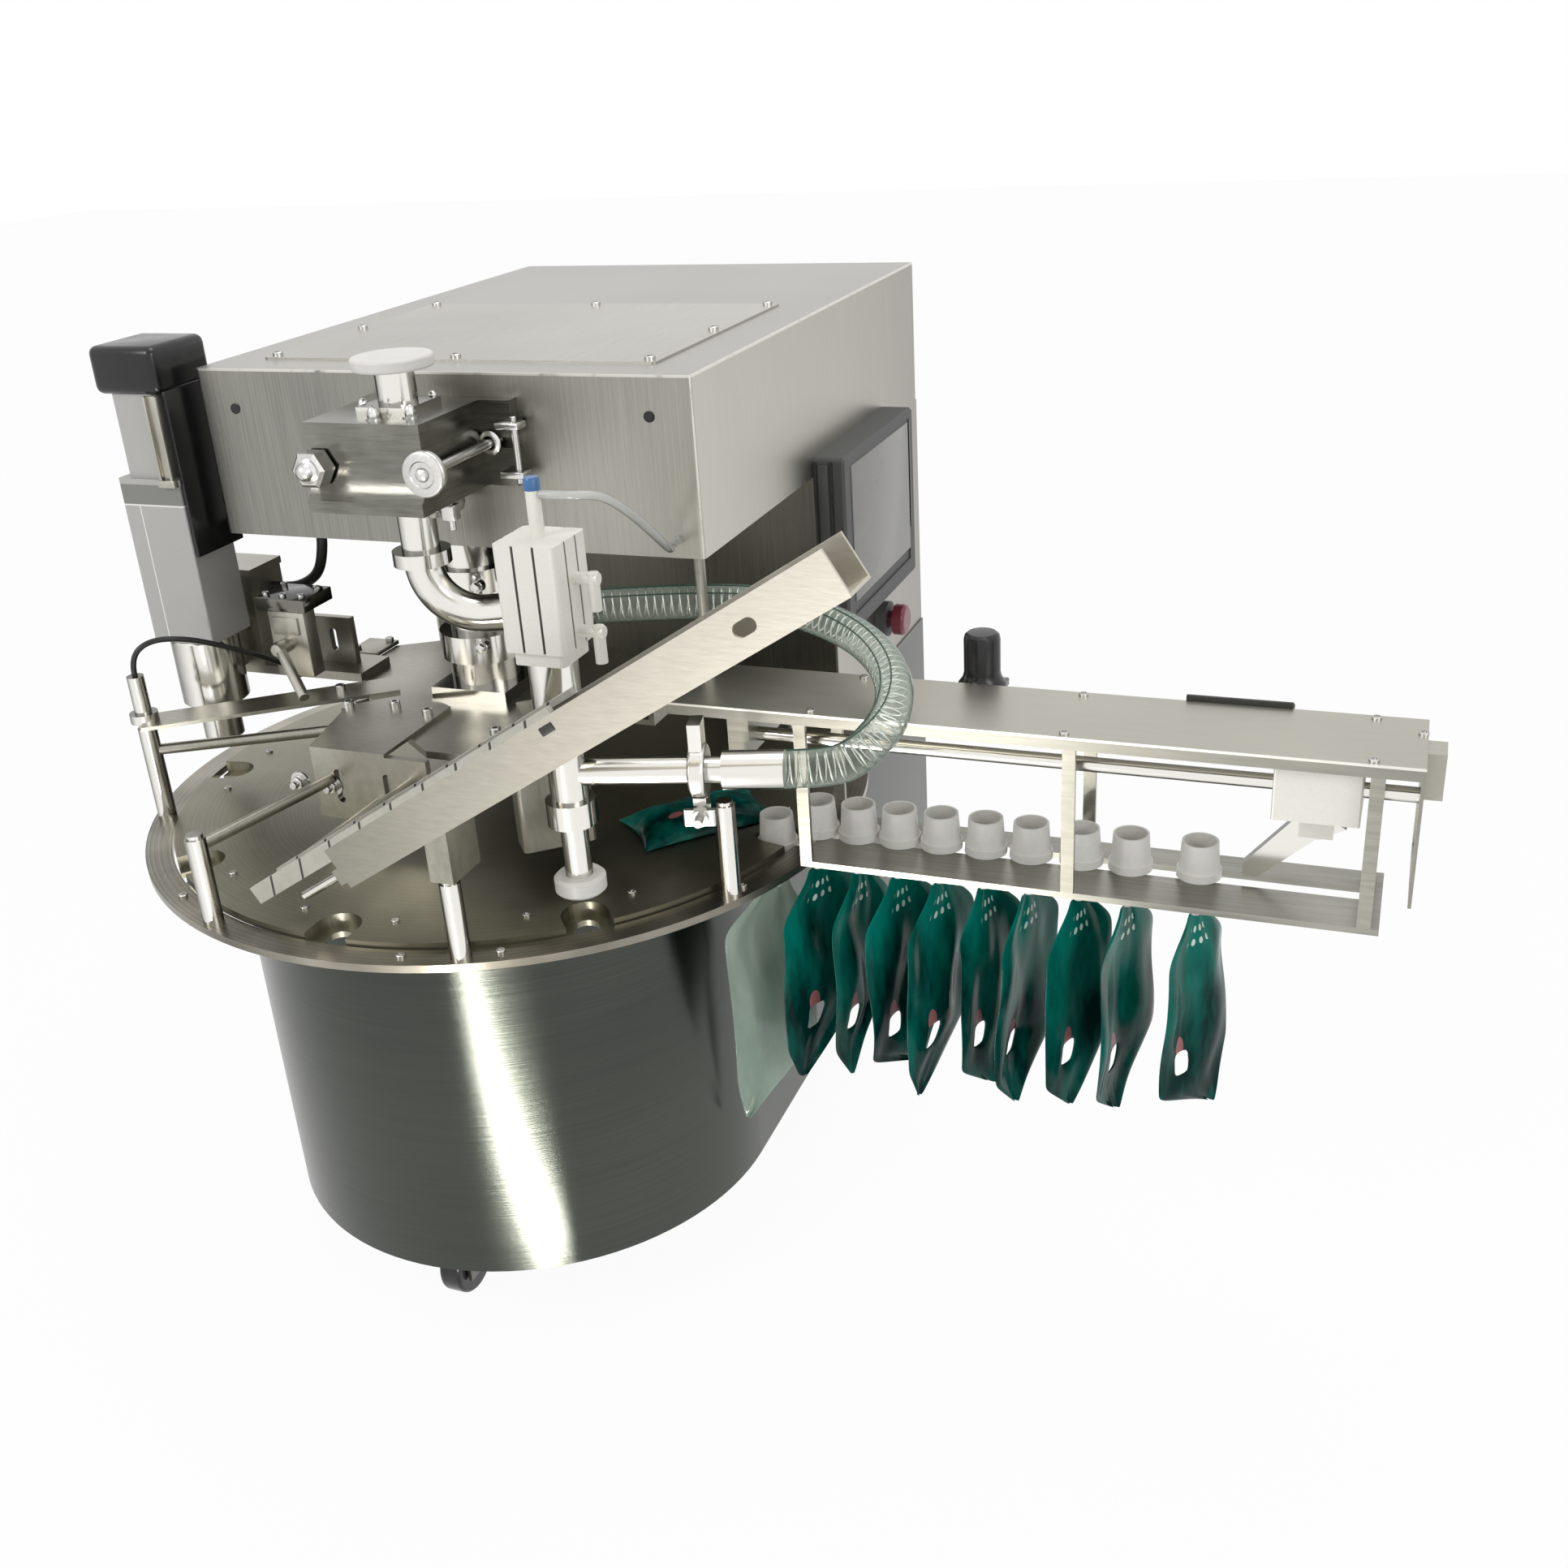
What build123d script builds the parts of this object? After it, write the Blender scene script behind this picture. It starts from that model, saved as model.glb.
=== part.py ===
from build123d import *
import math
import os

# Rotary stand-up pouch filling and capping machine, in millimetres, +Z up.
# The floor is z = 0. Plan places are given from the turntable's axis, and the
# planes below move them so that the middle of the footprint is the origin.

# Turntable and the fixed ring around it
table_radius = 400
ring_width = 28
ring_thickness = 8
ring_top = 524
table_gap = 2.5
disc_thickness = 8
disc_rise = 6
station_count = 9
first_station = -10.0
pocket_inset = 53
cup_clearance = 2
insert_floor = 6
insert_recess = 6
insert_margin = 10
neck_clearance = 2
shaft_diameter = 60
shaft_length = 126
shaft_flange_diameter = 130
shaft_flange_thickness = 8
running_gap = 0.1

# Base cabinet, rear column and upper housing, all folded sheet
base_lap = 2
drum_centre_y = -36
base_back = 672
base_bottom = 95
sheet = 3
deck_thickness = 4
deck_top = 508
deck_hole_margin = 4
foot_angles = (50, 70, 90, 110, 130)
foot_diameter = 24
housing_half_width = 283
housing_front = -56
housing_bottom = 818
housing_top = 995
housing_corner = 5
column_front_y = 313
column_slot = 32
gusset_radius = 45
lid_left = -234
lid_right = 224
lid_front = -4
lid_back = 338
lid_thickness = 2
lid_lap = 18
lid_corner = 5
lid_screw_inset = 11
lid_screw_hole = 6.5
panel_gap = 0.5
vent_count = 6
vent_width = 90
vent_height = 6
vent_pitch = 22
vent_low = 190

# Casters: one that steers under the nose, two fixed at the back
wheel_diameter = 75
wheel_width = 26
wheel_bore = 12
nose_caster_y = -262
rear_caster_x = 200
rear_caster_y = 580
caster_trail = 22
caster_plate = 64
caster_plate_thickness = 4
fork_cheek = 4
fork_width = 30
fork_crown = 8
swivel_gap = 0.3
swivel_diameter = 46
kingpin = 16

# Indexing drive inside the base
gearbox_width = 190
gearbox_height = 150
gearbox_neck_length = 60
motor_diameter = 118
motor_length = 190
motor_flange = 10

# Tool plate hung from the housing by a round mast
mast_x = -20
mast_y = 8
mast_diameter = 66
tool_plate_bottom = 627
tool_plate_thickness = 8
mast_foot = 92
mast_foot_thickness = 14
mast_neck = 78
mast_neck_height = 27
collar_wall = 13
collar_height = 30
collar_low = 678
ring_clamp_wall = 8
ring_clamp_height = 26
ring_clamp_low = 754
collar_split = 2

# Product valve on the front of the housing
valve_left = -65
valve_right = 62
valve_front_y = -180
valve_drop = 17
valve_rise = 67
valve_groove = 34
valve_lip = 12
flange_left = -72
flange_right = 96
flange_thickness = 16
port_x = 8
port_y = -125
port_bore = 34
side_bore = 26
inlet_plate = 58
inlet_plate_thickness = 9
inlet_height = 32
tube_diameter = 38
tube_wall = 1.6
inlet_cap_diameter = 79
inlet_cap_thickness = 12
inlet_spigot = 14
knob_rise = 26
left_knob_x = -52
right_knob_x = 72
hex_knob = 32
hex_knob_length = 20
round_knob = 44
round_knob_thickness = 9
knob_stud = 10
knob_seat = 3
outlet_length = 52
outlet_flange = 58
outlet_flange_thickness = 14
elbow_radius = 57
outlet_heading = 22
outlet_run = 165

# Dosing cylinder and its drive inside the upper housing
dosing_bore = 80
dosing_wall = 5
dosing_length = 210
dosing_rise = 87
dosing_flange = 120
piston_thickness = 24
piston_rest = 40
piston_rod = 20
piston_rod_length = 235
servo_width = 80
servo_length = 150
servo_front_y = 330

# Filling nozzle over its station
foot_hover = 4
nozzle_lift = 10
foot_diameter_outer = 49
foot_height = 18
stem_diameter = 26
stem_wall = 3
stem_top = 702
ferrule_diameter = 47
ferrule_low = 628
ferrule_height = 24
tee_diameter = 36
tee_top = 716
barrel_diameter = 46
barrel_wall = 4
barrel_top = 790
rod_diameter = 12
cylinder_width = 60
cylinder_foot_width = 50
cylinder_foot_height = 13
cylinder_height = 97
cylinder_corner = 5
cylinder_groove = 2.5
cylinder_bore = 40
cylinder_end_wall = 5
piston_height = 12
fitting_diameter = 13
fitting_height = 50
side_fitting_diameter = 11
side_fitting_length = 24
side_fitting_drop = 34
fitting_heights = (14, 62)
bracket_inner = 118
bracket_face = 262
bracket_depth = 34
bracket_width = 74
bracket_bottom = 562
bracket_top = 646
bracket_foot_width = 60
bracket_foot_thickness = 10
arm_thickness = 12
arm_width = 48
arm_ring_wall = 8

# Product line from the tee to the hose
line_height = 678
line_heading = 15
line_diameter = 25.4
clamp_distance = 122
clamp_diameter = 52
clamp_width = 16
sleeve_start = 144
sleeve_end = 200
hose_diameter = 36
hose_first_run = 85
hose_last_run = 44
clamp_lug = 12
clamp_lug_drop = 26
swing_bolt = 8
swing_bolt_length = 44
wing_span = 30
wing_thickness = 10

# Chute that brings the caps down to the pick-off station
chute_slope = 32
chute_front_y = -370
chute_back_y = -322
chute_low_x = 42
chute_low_z = 588
chute_length = 588
chute_height = 42
chute_wall = 3
chute_slot_from_end = 90
chute_slot_length = 22
chute_slot_width = 13
strip_low_reach = 108
strip_high_reach = 300
strip_thickness = 6
strip_skirt = 12
strip_width = 7
stop_length = 92
stop_diameter = 9
stop_eye = 16
stop_offset = 16
stop_reach = 70
stop_rise = 14
chute_saddle = 24

# Posts on the ring and the rods between them
post_diameter = 20
post_angles = (-153.2, -110.5, -68.4, -28.3)
post_heights = (107, 90, 78, 96)
post_cap = 4
cross_rod = 12

# Capping head
head_width = 80
head_depth = 68
head_low = 700
head_step = 885
upper_head_width = 58
motor_low = 1000
motor_cap_height = 21
motor_cap_margin = 2
chuck_wide_diameter = 74
chuck_wide_low = 622
chuck_narrow_diameter = 44
chuck_low = 577
chuck_shaft = 20
chuck_shaft_length = 40
chuck_gap = 0.3
slide_rail_width = 20
slide_rail_depth = 12
slide_gap = 0.3
slide_block_height = 84
slide_block_margin = 14
tower_half_width = 36
tower_depth = 58
tower_top = 752
tower_plate_thickness = 8
tower_foot_right = -176
tower_foot_thickness = 10
side_plate_right = -200
side_plate_top = 700
side_plate_thickness = 8
side_slot_width = 9

# Pouch guide arms over the left front of the table
arm_plate_thickness = 4
slotted_plate_bottom = 560
slotted_plate_y = -186
slotted_plate_left = -118
slotted_plate_right = 20
slotted_plate_thickness = 8
hanger_stud = 16
hanger_stud_x = -124
hanger_stud_y = -50
hanger_stud_low = 592
support_rod = 10
sensor_diameter = 18
sensor_height = 52
sensor_ring = 30
sensor_ring_height = 10

# Operator panel and emergency stop on the right side
panel_width = 271
panel_height = 213
panel_depth = 37
panel_front_y = 258
panel_low = 627
panel_corner = 6
bezel = 22
screen_recess = 2
estop_y = 484
estop_z = 572
estop_collar_diameter = 46
estop_collar_depth = 13
estop_head_diameter = 40
estop_head_depth = 16
estop_stem = 22
estop_travel = 4

# Infeed rail for the hanging pouches
rail_left = 391
rail_right = 930
rail_top = 537
rail_thickness = 6
rail_front_reach = 65
rail_back_reach = 45
cover_left = 204
cover_right = 954
cover_top = 694
cover_flange = 12
cover_sheet = 3
hanger_width = 12
hanger_thickness = 5
hanger_places = (0, 258, 520)
end_plate_bottom = 562
end_window_margin = 16
latch_depth = 16
latch_width = 30
latch_height = 46
guide_rod_diameter = 14
guide_rod_spacing = 52
guide_rod_height = 657
guide_block_left = 322
guide_block_width = 22
tie_post_diameter = 11
tie_post_x = 274
tie_post_y = -50
end_bracket = 6
end_bracket_left = 146
end_bracket_width = 36

# Pusher on the guide rods
carriage_left = 831
carriage_width = 75
carriage_low = 627
carriage_high = 676
carriage_side_gap = 9
ear_gap = 12
ear_thickness = 5
ear_width = 30
ear_drop = 34
pivot_diameter = 8
pivot_drop = 25
pawl_thickness = 11
pawl_reach = 62
pawl_tip_rise = 7
pawl_depth = 13
pawl_tail = 26

# Pouches: a cup-shaped spout with a flat bag welded under it
cup_diameter = 42
cup_top_diameter = 34
cup_height = 36
cup_band = 8
cup_wall = 2
neck_diameter = 20
weld_width = 30
weld_thickness = 9
weld_height = 14
bag_thickness = 10
bag_half_width = 72
bag_drop_to_widest = 96
bag_drop = 236
bag_tip_width = 16
first_bag_drop = 290
neck_length = 22
row_places = (388, 431, 474, 517, 562, 607, 656, 703, 767)
seat_gap = 0.3
loose_radius = 256
loose_bearing = -12
loose_heading = 45
loose_length = 158
loose_width = 92
loose_height = 22

# Flexible lines
air_tube_diameter = 8
cable_diameter = 6
drive_cable_diameter = 12

# The frame's origin: the middle of the footprint, on the floor
rail_end = cover_right + latch_depth
axis_x = (table_radius - rail_end) / 2
axis_y = (table_radius - base_back) / 2

# Places that follow from the sizes above
disc_radius = table_radius - ring_width - table_gap
disc_top = ring_top + disc_rise
disc_bottom = disc_top - disc_thickness
insert_top = disc_bottom
insert_bottom = insert_top - insert_recess - insert_floor
cup_seat = insert_top - insert_recess
notch_width = cup_diameter + 2 * cup_clearance
neck_slot = neck_diameter + 2 * neck_clearance
station_pitch = 360 / station_count
pocket_circle = table_radius - pocket_inset
rail_y = pocket_circle * math.sin(math.radians(first_station))
rail_front_y = rail_y - rail_front_reach
rail_back_y = rail_y + rail_back_reach
rail_middle_y = (rail_front_y + rail_back_y) / 2
base_radius = housing_half_width + base_lap
dosing_height = housing_bottom + dosing_rise
valve_bottom = dosing_height - valve_drop
valve_top = dosing_height + valve_rise
knob_height = dosing_height + knob_rise
tool_plate_top = tool_plate_bottom + tool_plate_thickness
foot_bottom = cup_seat + cup_height + foot_hover
nozzle_angle = first_station - station_pitch
capping_angle = first_station - 4 * station_pitch
os.makedirs("parts", exist_ok=True)


def around(angle, radius):
    """Plan place at an angle and a radius from the turntable's axis."""
    return (radius * math.cos(math.radians(angle)), radius * math.sin(math.radians(angle)))


def spot(x, y, z):
    """Point in the part's frame for a place given from the turntable's axis."""
    return Vector(axis_x + x, axis_y + y, z)


def level(height):
    """Level plane over the turntable's axis."""
    return Plane(origin=spot(0, 0, height))


def facing_front(y):
    """Upright plane that faces the front, with its second axis pointing up."""
    return Plane(origin=spot(0, y, 0), x_dir=(1, 0, 0), z_dir=(0, -1, 0))


def facing_right(x):
    """Upright plane that faces the right, with its second axis pointing up."""
    return Plane(origin=spot(x, 0, 0), x_dir=(0, 1, 0), z_dir=(1, 0, 0))


def turned(x, y, z, heading):
    """Level plane at a place, with its first axis turned to a heading."""
    direction = (math.cos(math.radians(heading)), math.sin(math.radians(heading)), 0)
    return Plane(origin=spot(x, y, z), x_dir=direction, z_dir=(0, 0, 1))


def bar(x, y, low, high, diameter, mode=Mode.ADD):
    """Upright round bar between two heights."""
    with BuildSketch(level(low)) as section:
        with Locations((x, y)):
            Circle(diameter / 2)
    extrude(section.sketch, amount=high - low, mode=mode)


def slab(left, right, front, back, low, high, mode=Mode.ADD):
    """Square-edged block between two places along each axis."""
    with BuildSketch(level(low)) as section:
        with Locations(((left + right) / 2, (front + back) / 2)):
            Rectangle(right - left, back - front)
    extrude(section.sketch, amount=high - low, mode=mode)


def upright(x, y, heading):
    """Upright plane through a place, with its first axis along a heading and its second up."""
    turn = math.radians(heading)
    return Plane(origin=spot(x, y, 0), x_dir=(math.cos(turn), math.sin(turn), 0),
                 z_dir=(math.sin(turn), -math.cos(turn), 0))


def rod(start, end, diameter, mode=Mode.ADD):
    """Straight round rod between two points."""
    first, last = spot(*start), spot(*end)
    with BuildSketch(Plane(origin=first, z_dir=last - first)) as section:
        Circle(diameter / 2)
    extrude(section.sketch, amount=(last - first).length, mode=mode)


nozzle_x, nozzle_y = around(nozzle_angle, pocket_circle)
capper_x, capper_y = around(capping_angle, pocket_circle)

# Base cabinet: a drum-fronted box of sheet with louvres in its back, open at the top
with BuildPart() as base_shell:
    with BuildSketch(level(base_bottom)):
        with Locations((0, drum_centre_y)):
            Circle(base_radius)
        with Locations((0, (drum_centre_y + base_back) / 2)):
            Rectangle(2 * base_radius, base_back - drum_centre_y)
    extrude(amount=deck_top - deck_thickness - base_bottom)
    offset(amount=-sheet, openings=base_shell.faces().sort_by(Axis.Z)[-1])
    with BuildSketch(facing_front(base_back)):
        with Locations((0, vent_low + vent_pitch * (vent_count - 1) / 2)):
            with GridLocations(2 * vent_width, vent_pitch, 2, vent_count):
                SlotOverall(vent_width, vent_height)
    extrude(amount=2 * sheet, both=True, mode=Mode.SUBTRACT)
base_shell.part.label = "base_shell"
export_step(base_shell.part, "parts/base_shell.step")

# Deck that closes the base, with feet that carry the ring at the back
with BuildPart() as base_deck:
    with BuildSketch(level(deck_top - deck_thickness)):
        with Locations((0, drum_centre_y)):
            Circle(base_radius)
        with Locations((0, (drum_centre_y + base_back) / 2)):
            Rectangle(2 * base_radius, base_back - drum_centre_y)
        Circle(shaft_flange_diameter / 2 + deck_hole_margin, mode=Mode.SUBTRACT)
    extrude(amount=deck_thickness)
    with BuildSketch(level(deck_top)):
        for angle in foot_angles:
            with Locations(around(angle, table_radius - ring_width / 2)):
                Circle(foot_diameter / 2)
    extrude(amount=ring_top - ring_thickness - deck_top)
base_deck.part.label = "base_deck"
export_step(base_deck.part, "parts/base_deck.step")

# Rear column: two side walls with a curved gusset, and a back wall
with BuildPart() as column_shell:
    with BuildSketch(facing_right(-housing_half_width)):
        with BuildLine():
            gusset_top = (column_front_y - gusset_radius, housing_bottom)
            gusset_foot = (column_front_y, housing_bottom - gusset_radius)
            Polyline(gusset_top, (base_back, housing_bottom), (base_back, deck_top))
            Polyline((base_back, deck_top), (column_front_y, deck_top), gusset_foot)
            RadiusArc(gusset_foot, gusset_top, gusset_radius)
        make_face()
    extrude(amount=2 * housing_half_width)
    inner = housing_half_width - sheet
    slab(-inner, inner, housing_front, base_back - sheet, deck_top, housing_bottom, Mode.SUBTRACT)
column_shell.part.label = "column_shell"
export_step(column_shell.part, "parts/column_shell.step")

# Front panel of the column, short at its foot so that the table turns under it
with BuildPart() as column_front:
    reach = housing_half_width - sheet - panel_gap
    panel_bottom = deck_top + column_slot
    slab(-reach, reach, column_front_y, column_front_y + sheet, panel_bottom, housing_bottom)
column_front.part.label = "column_front"
export_step(column_front.part, "parts/column_front.step")

# Upper housing: a sheet box with a window under its lid and a port for the valve
with BuildPart() as upper_housing:
    with BuildSketch(level(housing_bottom)):
        with Locations((0, (housing_front + base_back) / 2)):
            Rectangle(2 * housing_half_width, base_back - housing_front)
    extrude(amount=housing_top - housing_bottom)
    fillet(upper_housing.edges().filter_by(Axis.Z), radius=housing_corner)
    inside = housing_half_width - sheet
    front, back = housing_front + sheet, base_back - sheet
    slab(-inside, inside, front, back, housing_bottom + sheet, housing_top - sheet, Mode.SUBTRACT)
    window_left, window_right = lid_left + lid_lap, lid_right - lid_lap
    window_front, window_back = lid_front + lid_lap, lid_back - lid_lap
    window_low = housing_top - 2 * sheet
    slab(window_left, window_right, window_front, window_back, window_low, housing_top, Mode.SUBTRACT)
    with BuildSketch(facing_front(housing_front)):
        with Locations((port_x, dosing_height)):
            Circle(dosing_bore / 4)
    extrude(amount=-2 * sheet, mode=Mode.SUBTRACT)
upper_housing.part.label = "upper_housing"
export_step(upper_housing.part, "parts/upper_housing.step")

# Lid over the window, held by eight screws
with BuildPart() as housing_lid:
    with BuildSketch(level(housing_top)):
        lid_middle = ((lid_left + lid_right) / 2, (lid_front + lid_back) / 2)
        with Locations(lid_middle):
            RectangleRounded(lid_right - lid_left, lid_back - lid_front, lid_corner)
            spread_x = (lid_right - lid_left) / 2 - lid_screw_inset
            spread_y = (lid_back - lid_front) / 2 - lid_screw_inset
            screw_places = [(x * spread_x, y * spread_y) for x in (-1, 0, 1) for y in (-1, 0, 1)]
            with Locations(*[place for place in screw_places if place != (0, 0)]):
                Circle(lid_screw_hole / 2, mode=Mode.SUBTRACT)
    extrude(amount=lid_thickness)
housing_lid.part.label = "housing_lid"
export_step(housing_lid.part, "parts/housing_lid.step")

# Casters: each has a fork with a plate on top, and a wheel between its cheeks
wheel_radius = wheel_diameter / 2
plate_low = base_bottom - caster_plate_thickness
crown_low = plate_low - swivel_gap - fork_crown
caster_places = ((0, nose_caster_y), (-rear_caster_x, rear_caster_y), (rear_caster_x, rear_caster_y))


def add_fork(x, y, crown_top):
    """Crown, two cheeks and the axle of one caster fork, added to the open part."""
    outer = fork_width / 2 + fork_cheek
    slab(x - outer, x + outer, y - swivel_diameter / 2, y + caster_trail, crown_low, crown_top)
    for side in (-1, 1):
        middle = x + side * (fork_width + fork_cheek) / 2
        low, high = wheel_radius - wheel_bore, crown_low
        slab(middle - fork_cheek / 2, middle + fork_cheek / 2, y, y + caster_trail + wheel_bore, low, high)
    rod((x - outer, y + caster_trail, wheel_radius), (x + outer, y + caster_trail, wheel_radius),
        wheel_bore - 2 * running_gap)


# Nose caster: its plate stays on the base, and its fork swivels below it
with BuildPart() as caster_plates:
    with BuildSketch(level(plate_low)):
        with Locations(*caster_places):
            Rectangle(caster_plate, caster_plate)
    extrude(amount=caster_plate_thickness)
    bar(0, nose_caster_y, plate_low, base_bottom, kingpin + 2 * running_gap, Mode.SUBTRACT)
    for x, y in caster_places[1:]:
        add_fork(x, y, plate_low)
caster_plates.part.label = "caster_plates"
export_step(caster_plates.part, "parts/caster_plates.step")

with BuildPart() as nose_caster_fork:
    add_fork(0, nose_caster_y, crown_low + fork_crown)
    bar(0, nose_caster_y, crown_low + fork_crown, base_bottom - running_gap, kingpin)
nose_caster_fork.part.label = "nose_caster_fork"
export_step(nose_caster_fork.part, "parts/nose_caster_fork.step")

for name, (x, y) in zip(("nose", "left", "right"), caster_places):
    hub_y = y + caster_trail
    with BuildPart() as wheel:
        half = wheel_width / 2
        rod((x - half, hub_y, wheel_radius), (x + half, hub_y, wheel_radius), wheel_diameter)
        fillet(wheel.edges().filter_by(GeomType.CIRCLE), radius=fork_cheek)
        rod((x - half, hub_y, wheel_radius), (x + half, hub_y, wheel_radius), wheel_bore, Mode.SUBTRACT)
    wheel.part.label = f"{name}_wheel"
    export_step(wheel.part, f"parts/{name}_wheel.step")

# Fixed ring round the table, with a slot where the pouches come in
with BuildPart() as table_ring:
    with BuildSketch(level(ring_top - ring_thickness)):
        Circle(table_radius)
        Circle(table_radius - ring_width, mode=Mode.SUBTRACT)
        with Locations((table_radius, rail_y)):
            Rectangle(2 * (table_radius - pocket_circle), neck_slot, mode=Mode.SUBTRACT)
    extrude(amount=ring_thickness)
table_ring.part.label = "table_ring"
export_step(table_ring.part, "parts/table_ring.step")

# Turntable: one disc with open pockets for the spouts around its rim
stations = [first_station + index * station_pitch for index in range(station_count)]
with BuildPart() as turntable_disc:
    with BuildSketch(level(disc_bottom)):
        Circle(disc_radius)
        for angle in stations:
            with Locations(around(angle, pocket_circle)):
                Circle(notch_width / 2, mode=Mode.SUBTRACT)
            with Locations(Location((*around(angle, pocket_circle + notch_width / 2), 0), angle)):
                Rectangle(notch_width, notch_width, mode=Mode.SUBTRACT)
    extrude(amount=disc_thickness)
turntable_disc.part.label = "turntable_disc"
export_step(turntable_disc.part, "parts/turntable_disc.step")

# Pocket inserts screwed under the disc: each holds a cup's flange over a slot for its neck
insert_length = disc_radius - pocket_circle
insert_half = notch_width / 2 + insert_margin
with BuildPart() as pocket_inserts:
    for angle in stations:
        pocket = Location((*around(angle, pocket_circle), 0), angle)
        with BuildSketch(level(insert_bottom)):
            with Locations(pocket):
                with Locations(((insert_length - insert_half) / 2, 0)):
                    Rectangle(insert_length + insert_half, 2 * insert_half)
                Circle(neck_slot / 2, mode=Mode.SUBTRACT)
                with Locations((insert_half, 0)):
                    Rectangle(2 * insert_half, neck_slot, mode=Mode.SUBTRACT)
            Circle(disc_radius, mode=Mode.INTERSECT)
        extrude(amount=insert_top - insert_bottom)
        with BuildSketch(level(insert_top)):
            with Locations(pocket):
                Circle(notch_width / 2)
                with Locations((insert_half, 0)):
                    Rectangle(2 * insert_half, notch_width)
        extrude(amount=-insert_recess, mode=Mode.SUBTRACT)
pocket_inserts.part.label = "pocket_inserts"
export_step(pocket_inserts.part, "parts/pocket_inserts.step")

# Index shaft: a flange under the disc and a journal that runs in the gearbox's neck
with BuildPart() as index_shaft:
    flange_low = disc_bottom - shaft_flange_thickness
    bar(0, 0, flange_low, disc_bottom, shaft_flange_diameter)
    bar(0, 0, flange_low - shaft_length, flange_low, shaft_diameter)
index_shaft.part.label = "index_shaft"
export_step(index_shaft.part, "parts/index_shaft.step")

# Indexing drive hung under the deck: gearbox with a bored neck, and its motor
neck_top = deck_top - deck_thickness
gearbox_top = neck_top - gearbox_neck_length
with BuildPart() as index_gearbox:
    half = gearbox_width / 2
    slab(-half, half, -half, half, gearbox_top - gearbox_height, gearbox_top)
    fillet(index_gearbox.edges().filter_by(Axis.Z), radius=2 * housing_corner)
    bar(0, 0, gearbox_top, neck_top, shaft_flange_diameter + 2 * deck_hole_margin + foot_diameter)
    journal = shaft_diameter + 2 * running_gap
    bar(0, 0, flange_low - shaft_length - deck_hole_margin, neck_top, journal, Mode.SUBTRACT)

with BuildPart() as index_motor:
    motor_z = gearbox_top - gearbox_height / 2
    flange_y = gearbox_width / 2 + motor_flange
    with BuildSketch(facing_front(flange_y)):
        with Locations((0, motor_z)):
            RectangleRounded(gearbox_height - motor_flange, gearbox_height - motor_flange, motor_flange)
    extrude(amount=motor_flange)
    rod((0, flange_y, motor_z), (0, flange_y + motor_length, motor_z), motor_diameter)
index_drive = Compound(label="index_drive", children=[index_gearbox.part, index_motor.part])
export_step(index_drive, "parts/index_drive.step")

# Tool plate: a many-sided plate that hangs over the middle of the table
with BuildPart() as tool_plate:
    with BuildSketch(level(tool_plate_bottom)):
        with BuildLine():
            left_edge = ((-205, 105), (-205, 30), (-120, -75))
            front_edge = ((5, -168), (88, -168), (170, -60))
            back_edge = ((170, 60), (70, 150), (-130, 150))
            Polyline(*left_edge, *front_edge, *back_edge, close=True)
        make_face()
    extrude(amount=tool_plate_thickness)
tool_plate.part.label = "tool_plate"
export_step(tool_plate.part, "parts/tool_plate.step")

# Mast from the housing down to the tool plate, on a square foot
with BuildPart() as mast:
    half = mast_foot / 2
    foot_top = tool_plate_top + mast_foot_thickness
    slab(mast_x - half, mast_x + half, mast_y - half, mast_y + half, tool_plate_top, foot_top)
    bar(mast_x, mast_y, foot_top, foot_top + mast_neck_height, mast_neck)
    bar(mast_x, mast_y, foot_top + mast_neck_height, housing_bottom, mast_diameter)

# Split clamp collars on the mast, each of two halves
with BuildPart() as mast_collars:
    for low, wall, height in (
        (collar_low, collar_wall, collar_height),
        (ring_clamp_low, ring_clamp_wall, ring_clamp_height),
    ):
        bar(mast_x, mast_y, low, low + height, mast_diameter + 2 * wall)
        bar(mast_x, mast_y, low, low + height, mast_diameter, Mode.SUBTRACT)
        reach = mast_diameter
        slab(mast_x - reach, mast_x + reach, mast_y - collar_split / 2, mast_y + collar_split / 2,
             low, low + height, Mode.SUBTRACT)
mast_group = Compound(label="mast", children=[mast.part, mast_collars.part])
export_step(mast_group, "parts/mast.step")

# Product valve: a block with a rounded groove over its front lip, and its stepped flange
with BuildPart() as valve_block:
    flange_face = housing_front - flange_thickness
    with BuildSketch(facing_right(valve_left)):
        with BuildLine():
            groove_top = (valve_front_y, valve_bottom + valve_lip + valve_groove)
            groove_foot = (valve_front_y - valve_lip, valve_bottom + valve_lip)
            lip_foot = (valve_front_y - valve_lip, valve_bottom)
            Polyline(groove_top, (valve_front_y, valve_top), (flange_face, valve_top))
            Polyline((flange_face, valve_top), (flange_face, valve_bottom), lip_foot, groove_foot)
            RadiusArc(groove_foot, groove_top, -valve_groove)
        make_face()
    extrude(amount=valve_right - valve_left)
    rod((port_x, housing_front, dosing_height), (port_x, port_y, dosing_height), side_bore, Mode.SUBTRACT)
    bar(port_x, port_y, valve_bottom, valve_top, port_bore, Mode.SUBTRACT)

with BuildPart() as valve_flange:
    slab(flange_left, flange_right, flange_face, housing_front, valve_bottom, valve_top)
    notch_half = knob_stud / 2 + running_gap
    slab(valve_right + knob_seat, flange_right, flange_face, housing_front, knob_height - notch_half,
         knob_height + notch_half, Mode.SUBTRACT)
    rod((port_x, housing_front, dosing_height), (port_x, flange_face, dosing_height), side_bore,
        Mode.SUBTRACT)
product_valve = Compound(label="product_valve", children=[valve_block.part, valve_flange.part])
export_step(product_valve, "parts/product_valve.step")

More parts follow.
